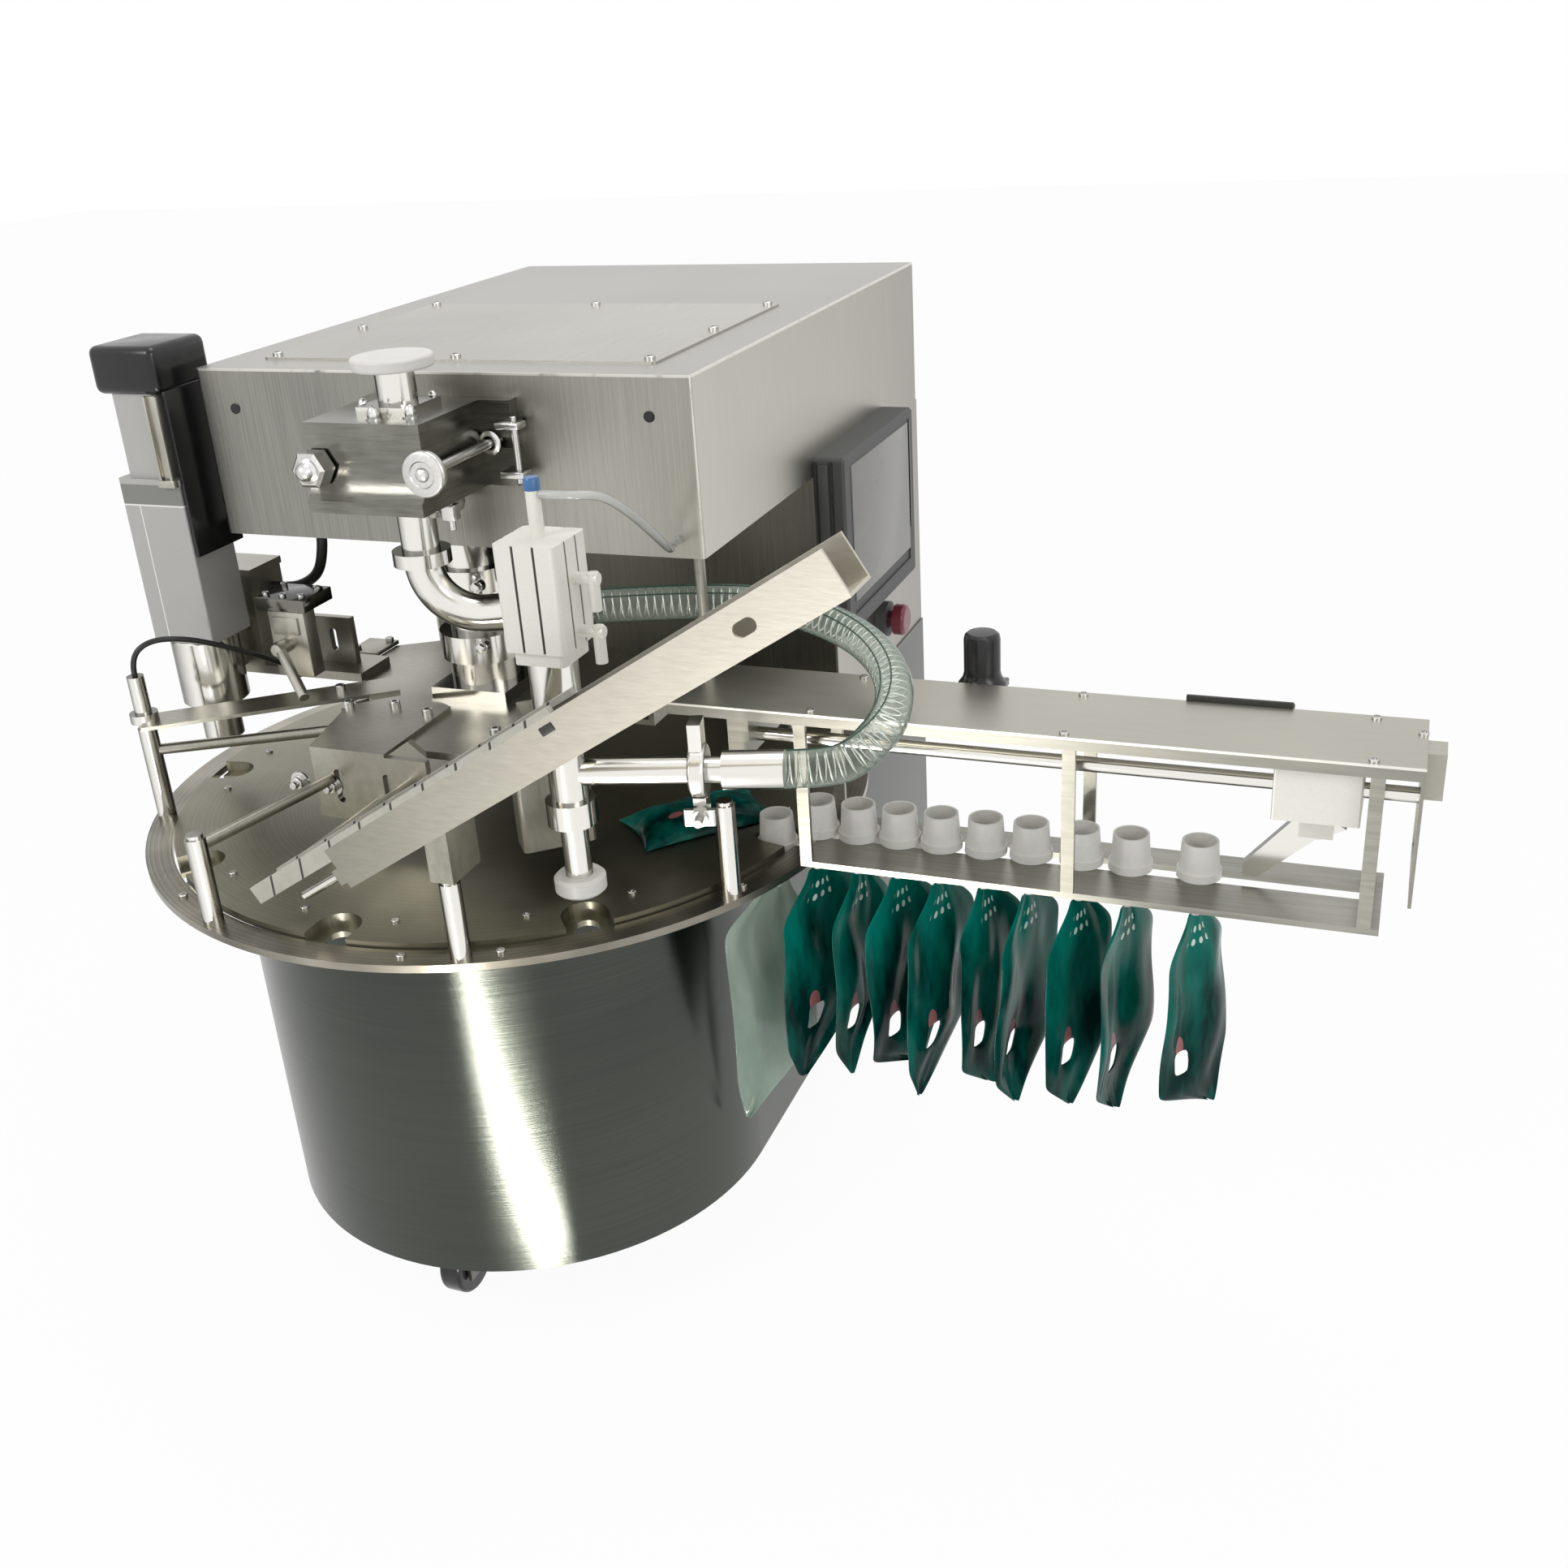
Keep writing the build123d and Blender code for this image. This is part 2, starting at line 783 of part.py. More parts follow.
# Inlet: a square plate with a short tube, where the product comes in
with BuildPart() as inlet_tube:
    plate_top = valve_top + inlet_plate_thickness
    half = inlet_plate / 2
    slab(port_x - half, port_x + half, port_y - half, port_y + half, valve_top, plate_top)
    inlet_top = plate_top + inlet_height
    bar(port_x, port_y, plate_top, inlet_top, tube_diameter)
    bar(port_x, port_y, valve_top, inlet_top, tube_diameter - 2 * tube_wall, Mode.SUBTRACT)
inlet_tube.part.label = "inlet_tube"
export_step(inlet_tube.part, "parts/inlet_tube.step")

with BuildPart() as inlet_cap:
    bar(port_x, port_y, inlet_top, inlet_top + inlet_cap_thickness, inlet_cap_diameter)
    fillet(inlet_cap.edges().filter_by(GeomType.CIRCLE), radius=inlet_cap_thickness / 4)
    spigot = tube_diameter - 2 * tube_wall - 2 * running_gap
    bar(port_x, port_y, inlet_top - inlet_spigot, inlet_top, spigot)
inlet_cap.part.label = "inlet_cap"
export_step(inlet_cap.part, "parts/inlet_cap.step")

# Clamp knobs of the valve: a hexagon on the left, a round head on a long stud on the right
with BuildPart() as clamp_knob_left:
    stud_start = valve_front_y - knob_seat
    with BuildSketch(facing_front(stud_start)):
        with Locations((left_knob_x, knob_height)):
            RegularPolygon(hex_knob / 2, 6, major_radius=False)
    extrude(amount=hex_knob_length)
    chamfer(clamp_knob_left.faces().sort_by(Axis.Y)[0].edges(), length=knob_seat)
    rod((left_knob_x, stud_start, knob_height),
        (left_knob_x, valve_front_y - running_gap, knob_height), knob_stud)
clamp_knob_left.part.label = "clamp_knob_left"
export_step(clamp_knob_left.part, "parts/clamp_knob_left.step")

with BuildPart() as clamp_knob_right:
    head_y = valve_front_y - knob_stud
    rod((right_knob_x, head_y, knob_height), (right_knob_x, head_y - round_knob_thickness, knob_height),
        round_knob)
    fillet(clamp_knob_right.edges().filter_by(GeomType.CIRCLE), radius=knob_seat)
    stud_end = flange_face + flange_thickness - knob_seat
    rod((right_knob_x, head_y, knob_height), (right_knob_x, stud_end, knob_height), knob_stud)
clamp_knob_right.part.label = "clamp_knob_right"
export_step(clamp_knob_right.part, "parts/clamp_knob_right.step")

# Outlet: tube and flange under the valve, then a long-radius elbow into a level pipe
elbow_start = valve_bottom - outlet_length - outlet_flange_thickness
line_start = elbow_start - elbow_radius
outlet_x = port_x + outlet_run * math.cos(math.radians(outlet_heading))
outlet_y = port_y + outlet_run * math.sin(math.radians(outlet_heading))
with BuildPart() as outlet_elbow:
    with BuildLine(upright(port_x, port_y, outlet_heading)) as bend:
        FilletPolyline((0, valve_bottom), (0, line_start), (outlet_run, line_start), radius=elbow_radius)
    with BuildSketch(Plane(origin=bend.wire() @ 0, z_dir=bend.wire() % 0)):
        Circle(tube_diameter / 2)
        Circle(tube_diameter / 2 - tube_wall, mode=Mode.SUBTRACT)
    sweep(path=bend.wire())
    with BuildSketch(level(elbow_start)) as flange_ring:
        with Locations((port_x, port_y)):
            Circle(outlet_flange / 2)
            Circle(tube_diameter / 2 - tube_wall, mode=Mode.SUBTRACT)
    extrude(flange_ring.sketch, amount=outlet_flange_thickness)
outlet_elbow.part.label = "outlet_elbow"
export_step(outlet_elbow.part, "parts/outlet_elbow.step")

# Dosing cylinder behind the valve, its piston on a hollow rod, and the servo with its spindle
cylinder_front_y = housing_front + sheet
cylinder_back_y = cylinder_front_y + dosing_length
piston_front_y = cylinder_front_y + piston_rest
piston_back_y = piston_front_y + piston_thickness
with BuildPart() as dosing_cylinder:
    outer = dosing_bore + 2 * dosing_wall
    rod((port_x, cylinder_front_y, dosing_height), (port_x, cylinder_back_y, dosing_height), outer)
    rod((port_x, cylinder_front_y, dosing_height),
        (port_x, cylinder_front_y + dosing_wall, dosing_height), dosing_flange)
    rod((port_x, cylinder_front_y, dosing_height),
        (port_x, cylinder_back_y - dosing_wall, dosing_height), dosing_bore, Mode.SUBTRACT)
    rod((port_x, cylinder_front_y, dosing_height), (port_x, cylinder_back_y, dosing_height),
        piston_rod + 2 * running_gap, Mode.SUBTRACT)
with BuildPart() as dosing_servo:
    servo_back_y = servo_front_y + servo_length
    half = servo_width / 2
    slab(port_x - half, port_x + half, servo_front_y, servo_back_y, dosing_height - half,
         dosing_height + half)
    fillet(dosing_servo.edges().filter_by(Axis.Y), radius=housing_corner)
    slab(port_x - half, port_x + half, servo_front_y, servo_front_y + dosing_wall,
         housing_bottom + sheet, dosing_height)
    spindle_end = piston_back_y + piston_rod_length / 2
    rod((port_x, spindle_end, dosing_height), (port_x, servo_front_y, dosing_height), rod_diameter)
dosing_drive = Compound(label="dosing_drive", children=[dosing_cylinder.part, dosing_servo.part])
export_step(dosing_drive, "parts/dosing_drive.step")

with BuildPart() as dosing_piston:
    rod((port_x, piston_front_y, dosing_height), (port_x, piston_back_y, dosing_height),
        dosing_bore - 2 * running_gap)
    rod_back_y = piston_back_y + piston_rod_length
    rod((port_x, piston_back_y, dosing_height), (port_x, rod_back_y, dosing_height), piston_rod)
    rod((port_x, piston_back_y, dosing_height), (port_x, rod_back_y, dosing_height),
        rod_diameter + 2 * running_gap, Mode.SUBTRACT)
dosing_piston.part.label = "dosing_piston"
export_step(dosing_piston.part, "parts/dosing_piston.step")

# Nozzle body: ferrule, tee and barrel, bored for the stem and for the rod that moves it
with BuildPart() as nozzle_body:
    tee_low = ferrule_low + ferrule_height
    bar(nozzle_x, nozzle_y, ferrule_low, tee_low, ferrule_diameter)
    bar(nozzle_x, nozzle_y, tee_low, tee_top, tee_diameter)
    bar(nozzle_x, nozzle_y, tee_top, barrel_top, barrel_diameter)
    bar(nozzle_x, nozzle_y, ferrule_low, stem_top + nozzle_lift + stem_wall,
        stem_diameter + 2 * running_gap, Mode.SUBTRACT)
    bar(nozzle_x, nozzle_y, tee_top + barrel_wall, barrel_top - barrel_wall,
        barrel_diameter - 2 * barrel_wall, Mode.SUBTRACT)
    bar(nozzle_x, nozzle_y, ferrule_low, barrel_top, rod_diameter + 2 * running_gap, Mode.SUBTRACT)
nozzle_body.part.label = "nozzle_body"
export_step(nozzle_body.part, "parts/nozzle_body.step")

# Nozzle stem: the tube that comes down on a spout, with its rod and the air piston on top
cylinder_low = barrel_top + cylinder_foot_height
cylinder_top = cylinder_low + cylinder_height
with BuildPart() as nozzle_stem:
    stem_low = foot_bottom + stem_wall
    bar(nozzle_x, nozzle_y, stem_low, stem_top, stem_diameter)
    bar(nozzle_x, nozzle_y, stem_low, stem_top - stem_wall, stem_diameter - 2 * stem_wall, Mode.SUBTRACT)
    piston_top = cylinder_top - cylinder_end_wall - stem_wall - nozzle_lift
    bar(nozzle_x, nozzle_y, stem_top, piston_top, rod_diameter)
    bar(nozzle_x, nozzle_y, piston_top - piston_height, piston_top, cylinder_bore - 2 * running_gap)
nozzle_stem.part.label = "nozzle_stem"
export_step(nozzle_stem.part, "parts/nozzle_stem.step")

with BuildPart() as nozzle_foot:
    bar(nozzle_x, nozzle_y, foot_bottom, foot_bottom + foot_height, foot_diameter_outer)
    chamfer(nozzle_foot.edges().filter_by(GeomType.CIRCLE), length=stem_wall)
    bar(nozzle_x, nozzle_y, foot_bottom, foot_bottom + foot_height, stem_diameter, Mode.SUBTRACT)
nozzle_foot.part.label = "nozzle_foot"
export_step(nozzle_foot.part, "parts/nozzle_foot.step")

# Square air cylinder over the nozzle, with grooves in its faces, and its push-in fittings
with BuildPart() as air_cylinder:
    with BuildSketch(level(barrel_top)) as foot_outline:
        with Locations((nozzle_x, nozzle_y)):
            RectangleRounded(cylinder_foot_width, cylinder_foot_width, cylinder_corner)
    extrude(foot_outline.sketch, amount=cylinder_foot_height)
    with BuildSketch(level(cylinder_low)) as body_outline:
        with Locations((nozzle_x, nozzle_y)):
            RectangleRounded(cylinder_width, cylinder_width, cylinder_corner)
            with PolarLocations(cylinder_width / 2, 4):
                with GridLocations(cylinder_groove, cylinder_width / 3, 1, 2):
                    Rectangle(cylinder_groove, cylinder_groove, mode=Mode.SUBTRACT)
    extrude(body_outline.sketch, amount=cylinder_height)
    bar(nozzle_x, nozzle_y, cylinder_low + cylinder_end_wall, cylinder_top - cylinder_end_wall,
        cylinder_bore, Mode.SUBTRACT)
    bar(nozzle_x, nozzle_y, barrel_top, cylinder_low + cylinder_end_wall,
        rod_diameter + 2 * running_gap, Mode.SUBTRACT)
with BuildPart() as air_fittings:
    bar(nozzle_x, nozzle_y, cylinder_top, cylinder_top + fitting_height, fitting_diameter)
    side_x = nozzle_x + cylinder_width / 2
    for rise in fitting_heights:
        port_z = cylinder_low + rise
        elbow_x = side_x + side_fitting_length
        rod((side_x, nozzle_y, port_z), (elbow_x, nozzle_y, port_z), side_fitting_diameter)
        bar(elbow_x - side_fitting_diameter / 2, nozzle_y, port_z + side_fitting_diameter / 2 -
            side_fitting_drop, port_z + side_fitting_diameter / 2, side_fitting_diameter)
air_actuator = Compound(label="air_cylinder", children=[air_cylinder.part, air_fittings.part])
export_step(air_actuator, "parts/air_cylinder.step")

# Bracket that holds the nozzle: a foot under the tool plate, an upright block and a ring arm
with BuildPart() as nozzle_bracket:
    bracket_plane = turned(0, 0, bracket_bottom, nozzle_angle)
    foot_low = tool_plate_bottom - bracket_foot_thickness
    with BuildSketch(bracket_plane) as block_outline:
        with Locations((bracket_face - bracket_depth / 2, 0)):
            Rectangle(bracket_depth, bracket_width)
    extrude(block_outline.sketch, amount=bracket_top - bracket_bottom)
    fillet(nozzle_bracket.edges().filter_by(Axis.Z), radius=cylinder_corner)
    with BuildSketch(bracket_plane.offset(foot_low - bracket_bottom)) as foot_outline:
        with Locations(((bracket_inner + bracket_face - bracket_depth) / 2, 0)):
            Rectangle(bracket_face - bracket_depth - bracket_inner, bracket_foot_width)
    extrude(foot_outline.sketch, amount=bracket_foot_thickness)
    arm_low = tee_top - arm_thickness
    with BuildSketch(bracket_plane.offset(bracket_top - bracket_bottom)) as riser_outline:
        with Locations((bracket_face - arm_thickness / 2, 0)):
            Rectangle(arm_thickness, arm_width)
    extrude(riser_outline.sketch, amount=tee_top - bracket_top)
    with BuildSketch(bracket_plane.offset(arm_low - bracket_bottom)) as arm_outline:
        with Locations(((bracket_face + pocket_circle) / 2, 0)):
            Rectangle(pocket_circle - bracket_face, arm_width)
        with Locations((pocket_circle, 0)):
            Circle(tee_diameter / 2 + arm_ring_wall)
            Circle(tee_diameter / 2, mode=Mode.SUBTRACT)
    extrude(arm_outline.sketch, amount=arm_thickness)
nozzle_bracket.part.label = "nozzle_bracket"
export_step(nozzle_bracket.part, "parts/nozzle_bracket.step")


def on_line(distance, across=0, rise=0):
    """Point on the level product line, measured from the nozzle's axis."""
    turn = math.radians(line_heading)
    x = nozzle_x + distance * math.cos(turn) - across * math.sin(turn)
    y = nozzle_y + distance * math.sin(turn) + across * math.cos(turn)
    return (x, y, line_height + rise)


# Product pipe from the tee to a wider hose tail, joined by a hinged clamp
with BuildPart() as product_pipe:
    rod(on_line(0), on_line(sleeve_start), line_diameter)
    rod(on_line(sleeve_start), on_line(sleeve_end), hose_diameter)
    rod(on_line(0), on_line(sleeve_end), line_diameter - 2 * tube_wall, Mode.SUBTRACT)
    bar(nozzle_x, nozzle_y, tee_low, tee_top, tee_diameter, Mode.SUBTRACT)
with BuildPart() as pipe_clamp:
    near, far = clamp_distance - clamp_width / 2, clamp_distance + clamp_width / 2
    rod(on_line(near), on_line(far), clamp_diameter)
    fillet(pipe_clamp.edges().filter_by(GeomType.CIRCLE), radius=clamp_width / 4)
    rod(on_line(near), on_line(far), line_diameter, Mode.SUBTRACT)
    for rise in (clamp_diameter / 2 - knob_seat, knob_seat - clamp_diameter / 2 - clamp_lug_drop):
        with BuildSketch(turned(*on_line(clamp_distance, 0, rise), line_heading)) as lug:
            Rectangle(clamp_lug, 2 * clamp_lug)
        extrude(lug.sketch, amount=clamp_lug_drop)
    bolt_rise = -clamp_diameter / 2 - clamp_lug_drop / 2
    rod(on_line(clamp_distance, clamp_lug, bolt_rise),
        on_line(clamp_distance, clamp_lug - swing_bolt_length, bolt_rise), swing_bolt)
product_line = Compound(label="product_pipe", children=[product_pipe.part, pipe_clamp.part])
export_step(product_line, "parts/product_pipe.step")

# Wing nut on the clamp's swing bolt
with BuildPart() as wing_nut:
    nut_front = -clamp_lug - running_gap - wing_thickness
    rod(on_line(clamp_distance, nut_front + wing_thickness, bolt_rise),
        on_line(clamp_distance, nut_front, bolt_rise), 2 * swing_bolt)
    wing_plane = turned(*on_line(clamp_distance, nut_front + wing_thickness / 2, bolt_rise), line_heading)
    with BuildSketch(wing_plane) as wings:
        SlotOverall(wing_span, wing_thickness / 2)
    extrude(wings.sketch, amount=swing_bolt, both=True)
    rod(on_line(clamp_distance, 0, bolt_rise), on_line(clamp_distance, -swing_bolt_length, bolt_rise),
        swing_bolt + 2 * running_gap, Mode.SUBTRACT)
wing_nut.part.label = "wing_nut"
export_step(wing_nut.part, "parts/wing_nut.step")

# Cap chute: a steel channel that slopes down to the left in front of the nozzle
slope = math.radians(chute_slope)
chute_plane = Plane(origin=spot(chute_low_x, chute_front_y, chute_low_z),
                    x_dir=(math.cos(slope), 0, math.sin(slope)), z_dir=(0, -1, 0))
chute_depth = chute_back_y - chute_front_y
with BuildPart() as cap_chute:
    with BuildSketch(chute_plane) as side:
        with Locations((chute_length / 2, chute_height / 2)):
            Rectangle(chute_length, chute_height)
    extrude(side.sketch, amount=-chute_depth)
    with BuildSketch(chute_plane.offset(-chute_wall)) as channel:
        with Locations((chute_length / 2, chute_wall + chute_height / 2)):
            Rectangle(chute_length, chute_height)
    extrude(channel.sketch, amount=-(chute_depth - 2 * chute_wall), mode=Mode.SUBTRACT)
    with BuildSketch(chute_plane) as window:
        with Locations((chute_length - chute_slot_from_end, chute_height / 2)):
            SlotOverall(chute_slot_length, chute_slot_width)
    extrude(window.sketch, amount=-2 * chute_wall, mode=Mode.SUBTRACT)
    with BuildSketch(chute_plane) as lug:
        with Locations((-stop_eye / 4, stop_rise)):
            Rectangle(stop_eye / 2, stop_eye)
    extrude(lug.sketch, amount=-2 * stop_eye)
    lug_axis = chute_plane.offset(-stop_offset).location * Location((0, stop_rise, 0))
    stop_plane = Plane(origin=lug_axis.position, z_dir=chute_plane.x_dir)
    with BuildSketch(stop_plane) as eye:
        Circle(stop_diameter / 2 + running_gap)
    extrude(eye.sketch, amount=stop_eye, both=True, mode=Mode.SUBTRACT)
cap_chute.part.label = "cap_chute"
export_step(cap_chute.part, "parts/cap_chute.step")

# White guide strips on the chute's two edges, longer than the channel at its low end
with BuildPart() as chute_strips:
    for setback in (0, chute_depth - strip_width):
        with BuildSketch(chute_plane.offset(-setback)) as strip:
            with BuildLine():
                top = chute_height + strip_thickness
                skirt = chute_height - strip_skirt
                Polyline((-strip_low_reach, skirt), (0, skirt), (0, chute_height),
                         (strip_high_reach, chute_height), (strip_high_reach, top),
                         (-strip_low_reach, top), close=True)
            make_face()
        extrude(strip.sketch, amount=-strip_width)
chute_strips.part.label = "chute_strips"
export_step(chute_strips.part, "parts/chute_strips.step")

# Sliding stop that lets one cap go at a time
with BuildPart() as cap_stop:
    with BuildSketch(stop_plane.offset(-stop_reach)) as plunger:
        Circle(stop_diameter / 2)
    extrude(plunger.sketch, amount=stop_length)
    with BuildSketch(stop_plane.offset(stop_length - stop_reach)) as knob:
        Circle(stop_eye / 2)
    extrude(knob.sketch, amount=stop_diameter)
cap_stop.part.label = "cap_stop"
export_step(cap_stop.part, "parts/cap_stop.step")

# Posts on the ring: turned bars with a thin cap each
post_places = [around(angle, table_radius - ring_width / 2) for angle in post_angles]
with BuildPart() as ring_posts:
    for (x, y), height in zip(post_places, post_heights):
        bar(x, y, ring_top, ring_top + height, post_diameter)
        bar(x, y, ring_top + height, ring_top + height + post_cap, post_diameter - post_cap)
ring_posts.part.label = "ring_posts"
export_step(ring_posts.part, "parts/ring_posts.step")

# Chute supports: a sloped saddle on the third post, two rods, and a brace to the second post
plate_front_y = slotted_plate_y - slotted_plate_thickness
with BuildPart() as chute_supports:
    post_x, post_y = post_places[2]
    saddle_foot = ring_top + post_heights[2] + post_cap
    left, right = post_x - chute_saddle / 2, post_x + chute_saddle / 2
    under_left = chute_low_z + (left - chute_low_x) * math.tan(slope)
    under_right = chute_low_z + (right - chute_low_x) * math.tan(slope)
    with BuildSketch(facing_front(chute_back_y)) as saddle:
        with BuildLine():
            Polyline((left, saddle_foot), (right, saddle_foot), (right, under_right),
                     (left, under_left), close=True)
        make_face()
    extrude(saddle.sketch, amount=chute_depth)
    for distance in (-strip_low_reach * 3 / 4, -strip_low_reach / 4):
        anchor = chute_plane.location * Location((distance, chute_height, 0))
        x, z = anchor.position.X - axis_x, anchor.position.Z
        rod((x, plate_front_y, z), (x, chute_back_y, z), support_rod)
    brace_z = ring_top + post_heights[1] - post_diameter / 2
    brace_end = (slotted_plate_left + post_diameter, plate_front_y, brace_z)
    rod((*post_places[1], brace_z), brace_end, cross_rod)
    bar(*post_places[1], ring_top, ring_top + post_heights[1], post_diameter, Mode.SUBTRACT)
    slab(slotted_plate_left, slotted_plate_right, plate_front_y, slotted_plate_y, slotted_plate_bottom,
         tool_plate_top, Mode.SUBTRACT)
chute_supports.part.label = "chute_supports"
export_step(chute_supports.part, "parts/chute_supports.step")

# Capping head: a square body with a motor on top, on a slide down the tower's front
head_back_y = capper_y + head_depth / 2
tower_front_y = head_back_y + slide_rail_depth + slide_gap + knob_seat
tower_left, tower_right = capper_x - tower_half_width, capper_x + tower_half_width
foot_top = tool_plate_top + tower_foot_thickness
with BuildPart() as capper_tower:
    slab(tower_left, tower_foot_right, tower_front_y, tower_front_y + tower_depth, tool_plate_top, foot_top)
    slab(tower_left, tower_right, tower_front_y, tower_front_y + tower_depth, foot_top, tower_top)
    rail_half = slide_rail_width / 2
    slab(capper_x - rail_half, capper_x + rail_half, tower_front_y - slide_rail_depth, tower_front_y,
         foot_top, tower_top)
    plate_y = tower_front_y + tower_depth / 2
    slab(tower_right, side_plate_right, plate_y, plate_y + side_plate_thickness, foot_top, side_plate_top)
    with BuildSketch(facing_front(plate_y)) as slots:
        middle = (tower_right + side_plate_right) / 2
        with Locations((middle, (foot_top + side_plate_top) / 2)):
            with GridLocations((side_plate_right - tower_right) / 2, 1, 2, 1):
                SlotOverall((side_plate_top - foot_top) / 2, side_slot_width, rotation=90)
    extrude(slots.sketch, amount=-2 * side_plate_thickness, mode=Mode.SUBTRACT)
with BuildPart() as tower_plate:
    slab(tower_left - knob_seat, tower_right + knob_seat, tower_front_y, tower_front_y + tower_depth,
         tower_top, tower_top + tower_plate_thickness)
tower_group = Compound(label="capper_tower", children=[capper_tower.part, tower_plate.part])
export_step(tower_group, "parts/capper_tower.step")

with BuildPart() as capper_head:
    half_width, half_depth = head_width / 2, head_depth / 2
    slab(capper_x - half_width, capper_x + half_width, capper_y - half_depth, head_back_y,
         head_low, head_step)
    fillet(capper_head.edges().filter_by(Axis.Z), radius=knob_seat)
    block_half = slide_rail_width / 2 + slide_block_margin
    block_top = tower_top - slide_gap
    slab(capper_x - block_half, capper_x + block_half, head_back_y, tower_front_y - slide_gap,
         max(head_low, block_top - slide_block_height), block_top)
    rail_half = slide_rail_width / 2 + slide_gap
    slab(capper_x - rail_half, capper_x + rail_half, tower_front_y - slide_rail_depth - slide_gap,
         tower_front_y, head_low, block_top, Mode.SUBTRACT)
    bar(capper_x, capper_y, head_low, head_low + chuck_shaft_length, chuck_shaft + 2 * running_gap,
        Mode.SUBTRACT)
with BuildPart() as capper_motor:
    half = upper_head_width / 2
    slab(capper_x - half, capper_x + half, capper_y - half, capper_y + half, head_step, motor_low)
    fillet(capper_motor.edges().filter_by(Axis.Z), radius=cylinder_corner)
with BuildPart() as motor_cap:
    half = upper_head_width / 2 + motor_cap_margin
    slab(capper_x - half, capper_x + half, capper_y - half, capper_y + half, motor_low,
         motor_low + motor_cap_height)
    fillet(motor_cap.edges().filter_by(Axis.Z), radius=cylinder_corner)
    fillet(motor_cap.faces().sort_by(Axis.Z)[-1].edges(), radius=knob_seat)
head_group = Compound(label="capper_head", children=[capper_head.part, capper_motor.part, motor_cap.part])
export_step(head_group, "parts/capper_head.step")

# Capping chuck: a wide drum over a narrow cap socket, on a shaft in the head
with BuildPart() as capper_chuck:
    drum_top = head_low - chuck_gap
    bar(capper_x, capper_y, chuck_wide_low, drum_top, chuck_wide_diameter)
    chamfer(capper_chuck.edges().filter_by(GeomType.CIRCLE), length=motor_cap_margin)
    bar(capper_x, capper_y, chuck_low, chuck_wide_low, chuck_narrow_diameter)
    bar(capper_x, capper_y, chuck_low, chuck_low + knob_stud, chuck_narrow_diameter - 2 * stem_wall,
        Mode.SUBTRACT)
    bar(capper_x, capper_y, drum_top, drum_top + chuck_shaft_length - cylinder_end_wall, chuck_shaft)
capper_chuck.part.label = "capper_chuck"
export_step(capper_chuck.part, "parts/capper_chuck.step")

# Guide arms over the left front: a long arm to the first post, a short arm and its slotted plate
arm_top = tool_plate_top + arm_plate_thickness
first_post_x, first_post_y = post_places[0]
with BuildPart() as guide_arms:
    with BuildSketch(level(tool_plate_top)) as long_arm:
        with BuildLine():
            outer_end = ((first_post_x - post_diameter, first_post_y + post_diameter / 2),
                         (first_post_x + post_diameter / 2, first_post_y - post_diameter))
            Polyline(outer_end[0], (-140, 5), (-112, -32), outer_end[1], close=True)
        make_face()
    extrude(long_arm.sketch, amount=arm_plate_thickness)
    bar(hanger_stud_x, hanger_stud_y, hanger_stud_low, tool_plate_bottom, hanger_stud)
    rod_z = hanger_stud_low + cross_rod
    rod((first_post_x, first_post_y, rod_z), (hanger_stud_x, hanger_stud_y, rod_z), cross_rod)
    bar(first_post_x, first_post_y, ring_top, tool_plate_top, post_diameter, Mode.SUBTRACT)
with BuildPart() as short_arm:
    with BuildSketch(level(tool_plate_top)) as arm_outline:
        with BuildLine():
            front_left, front_right = (slotted_plate_left, plate_front_y), (-28, plate_front_y)
            Polyline(front_left, (-145, -85), (-84, -30), (-68, -42), (-28, -63), front_right, close=True)
        make_face()
    extrude(arm_outline.sketch, amount=arm_plate_thickness)
with BuildPart() as slotted_plate:
    slab(slotted_plate_left, slotted_plate_right, plate_front_y, slotted_plate_y, slotted_plate_bottom,
         tool_plate_top)
    with BuildSketch(facing_front(slotted_plate_y)) as slots:
        middle = (slotted_plate_bottom + tool_plate_top) / 2
        with Locations((slotted_plate_left / 2, middle)):
            with GridLocations(-slotted_plate_left / 2, 1, 2, 1):
                SlotOverall((tool_plate_top - slotted_plate_bottom) / 2, side_slot_width, rotation=90)
    extrude(slots.sketch, amount=2 * slotted_plate_thickness, both=True, mode=Mode.SUBTRACT)
arm_group = Compound(label="guide_arms", children=[guide_arms.part, short_arm.part, slotted_plate.part])
export_step(arm_group, "parts/guide_arms.step")

# Cap sensor: a threaded barrel with a ring nut, upright at the end of the long arm
with BuildPart() as cap_sensor:
    bar(first_post_x, first_post_y, arm_top, arm_top + sensor_height, sensor_diameter)
    bar(first_post_x, first_post_y, arm_top, arm_top + sensor_ring_height, sensor_ring)
cap_sensor.part.label = "cap_sensor"
export_step(cap_sensor.part, "parts/cap_sensor.step")

# Operator panel on the right side, with a recessed screen
with BuildPart() as operator_panel:
    panel_middle = (panel_front_y + panel_width / 2, panel_low + panel_height / 2)
    with BuildSketch(facing_right(housing_half_width)) as panel_outline:
        with Locations((panel_middle[0], panel_middle[1])):
            RectangleRounded(panel_width, panel_height, panel_corner)
    extrude(panel_outline.sketch, amount=panel_depth)
    chamfer(operator_panel.faces().sort_by(Axis.X)[-1].edges(), length=knob_seat)
    with BuildSketch(facing_right(housing_half_width + panel_depth)) as screen:
        with Locations(panel_middle):
            Rectangle(panel_width - 2 * bezel, panel_height - 2 * bezel)
    extrude(screen.sketch, amount=-screen_recess, mode=Mode.SUBTRACT)
operator_panel.part.label = "operator_panel"
export_step(operator_panel.part, "parts/operator_panel.step")

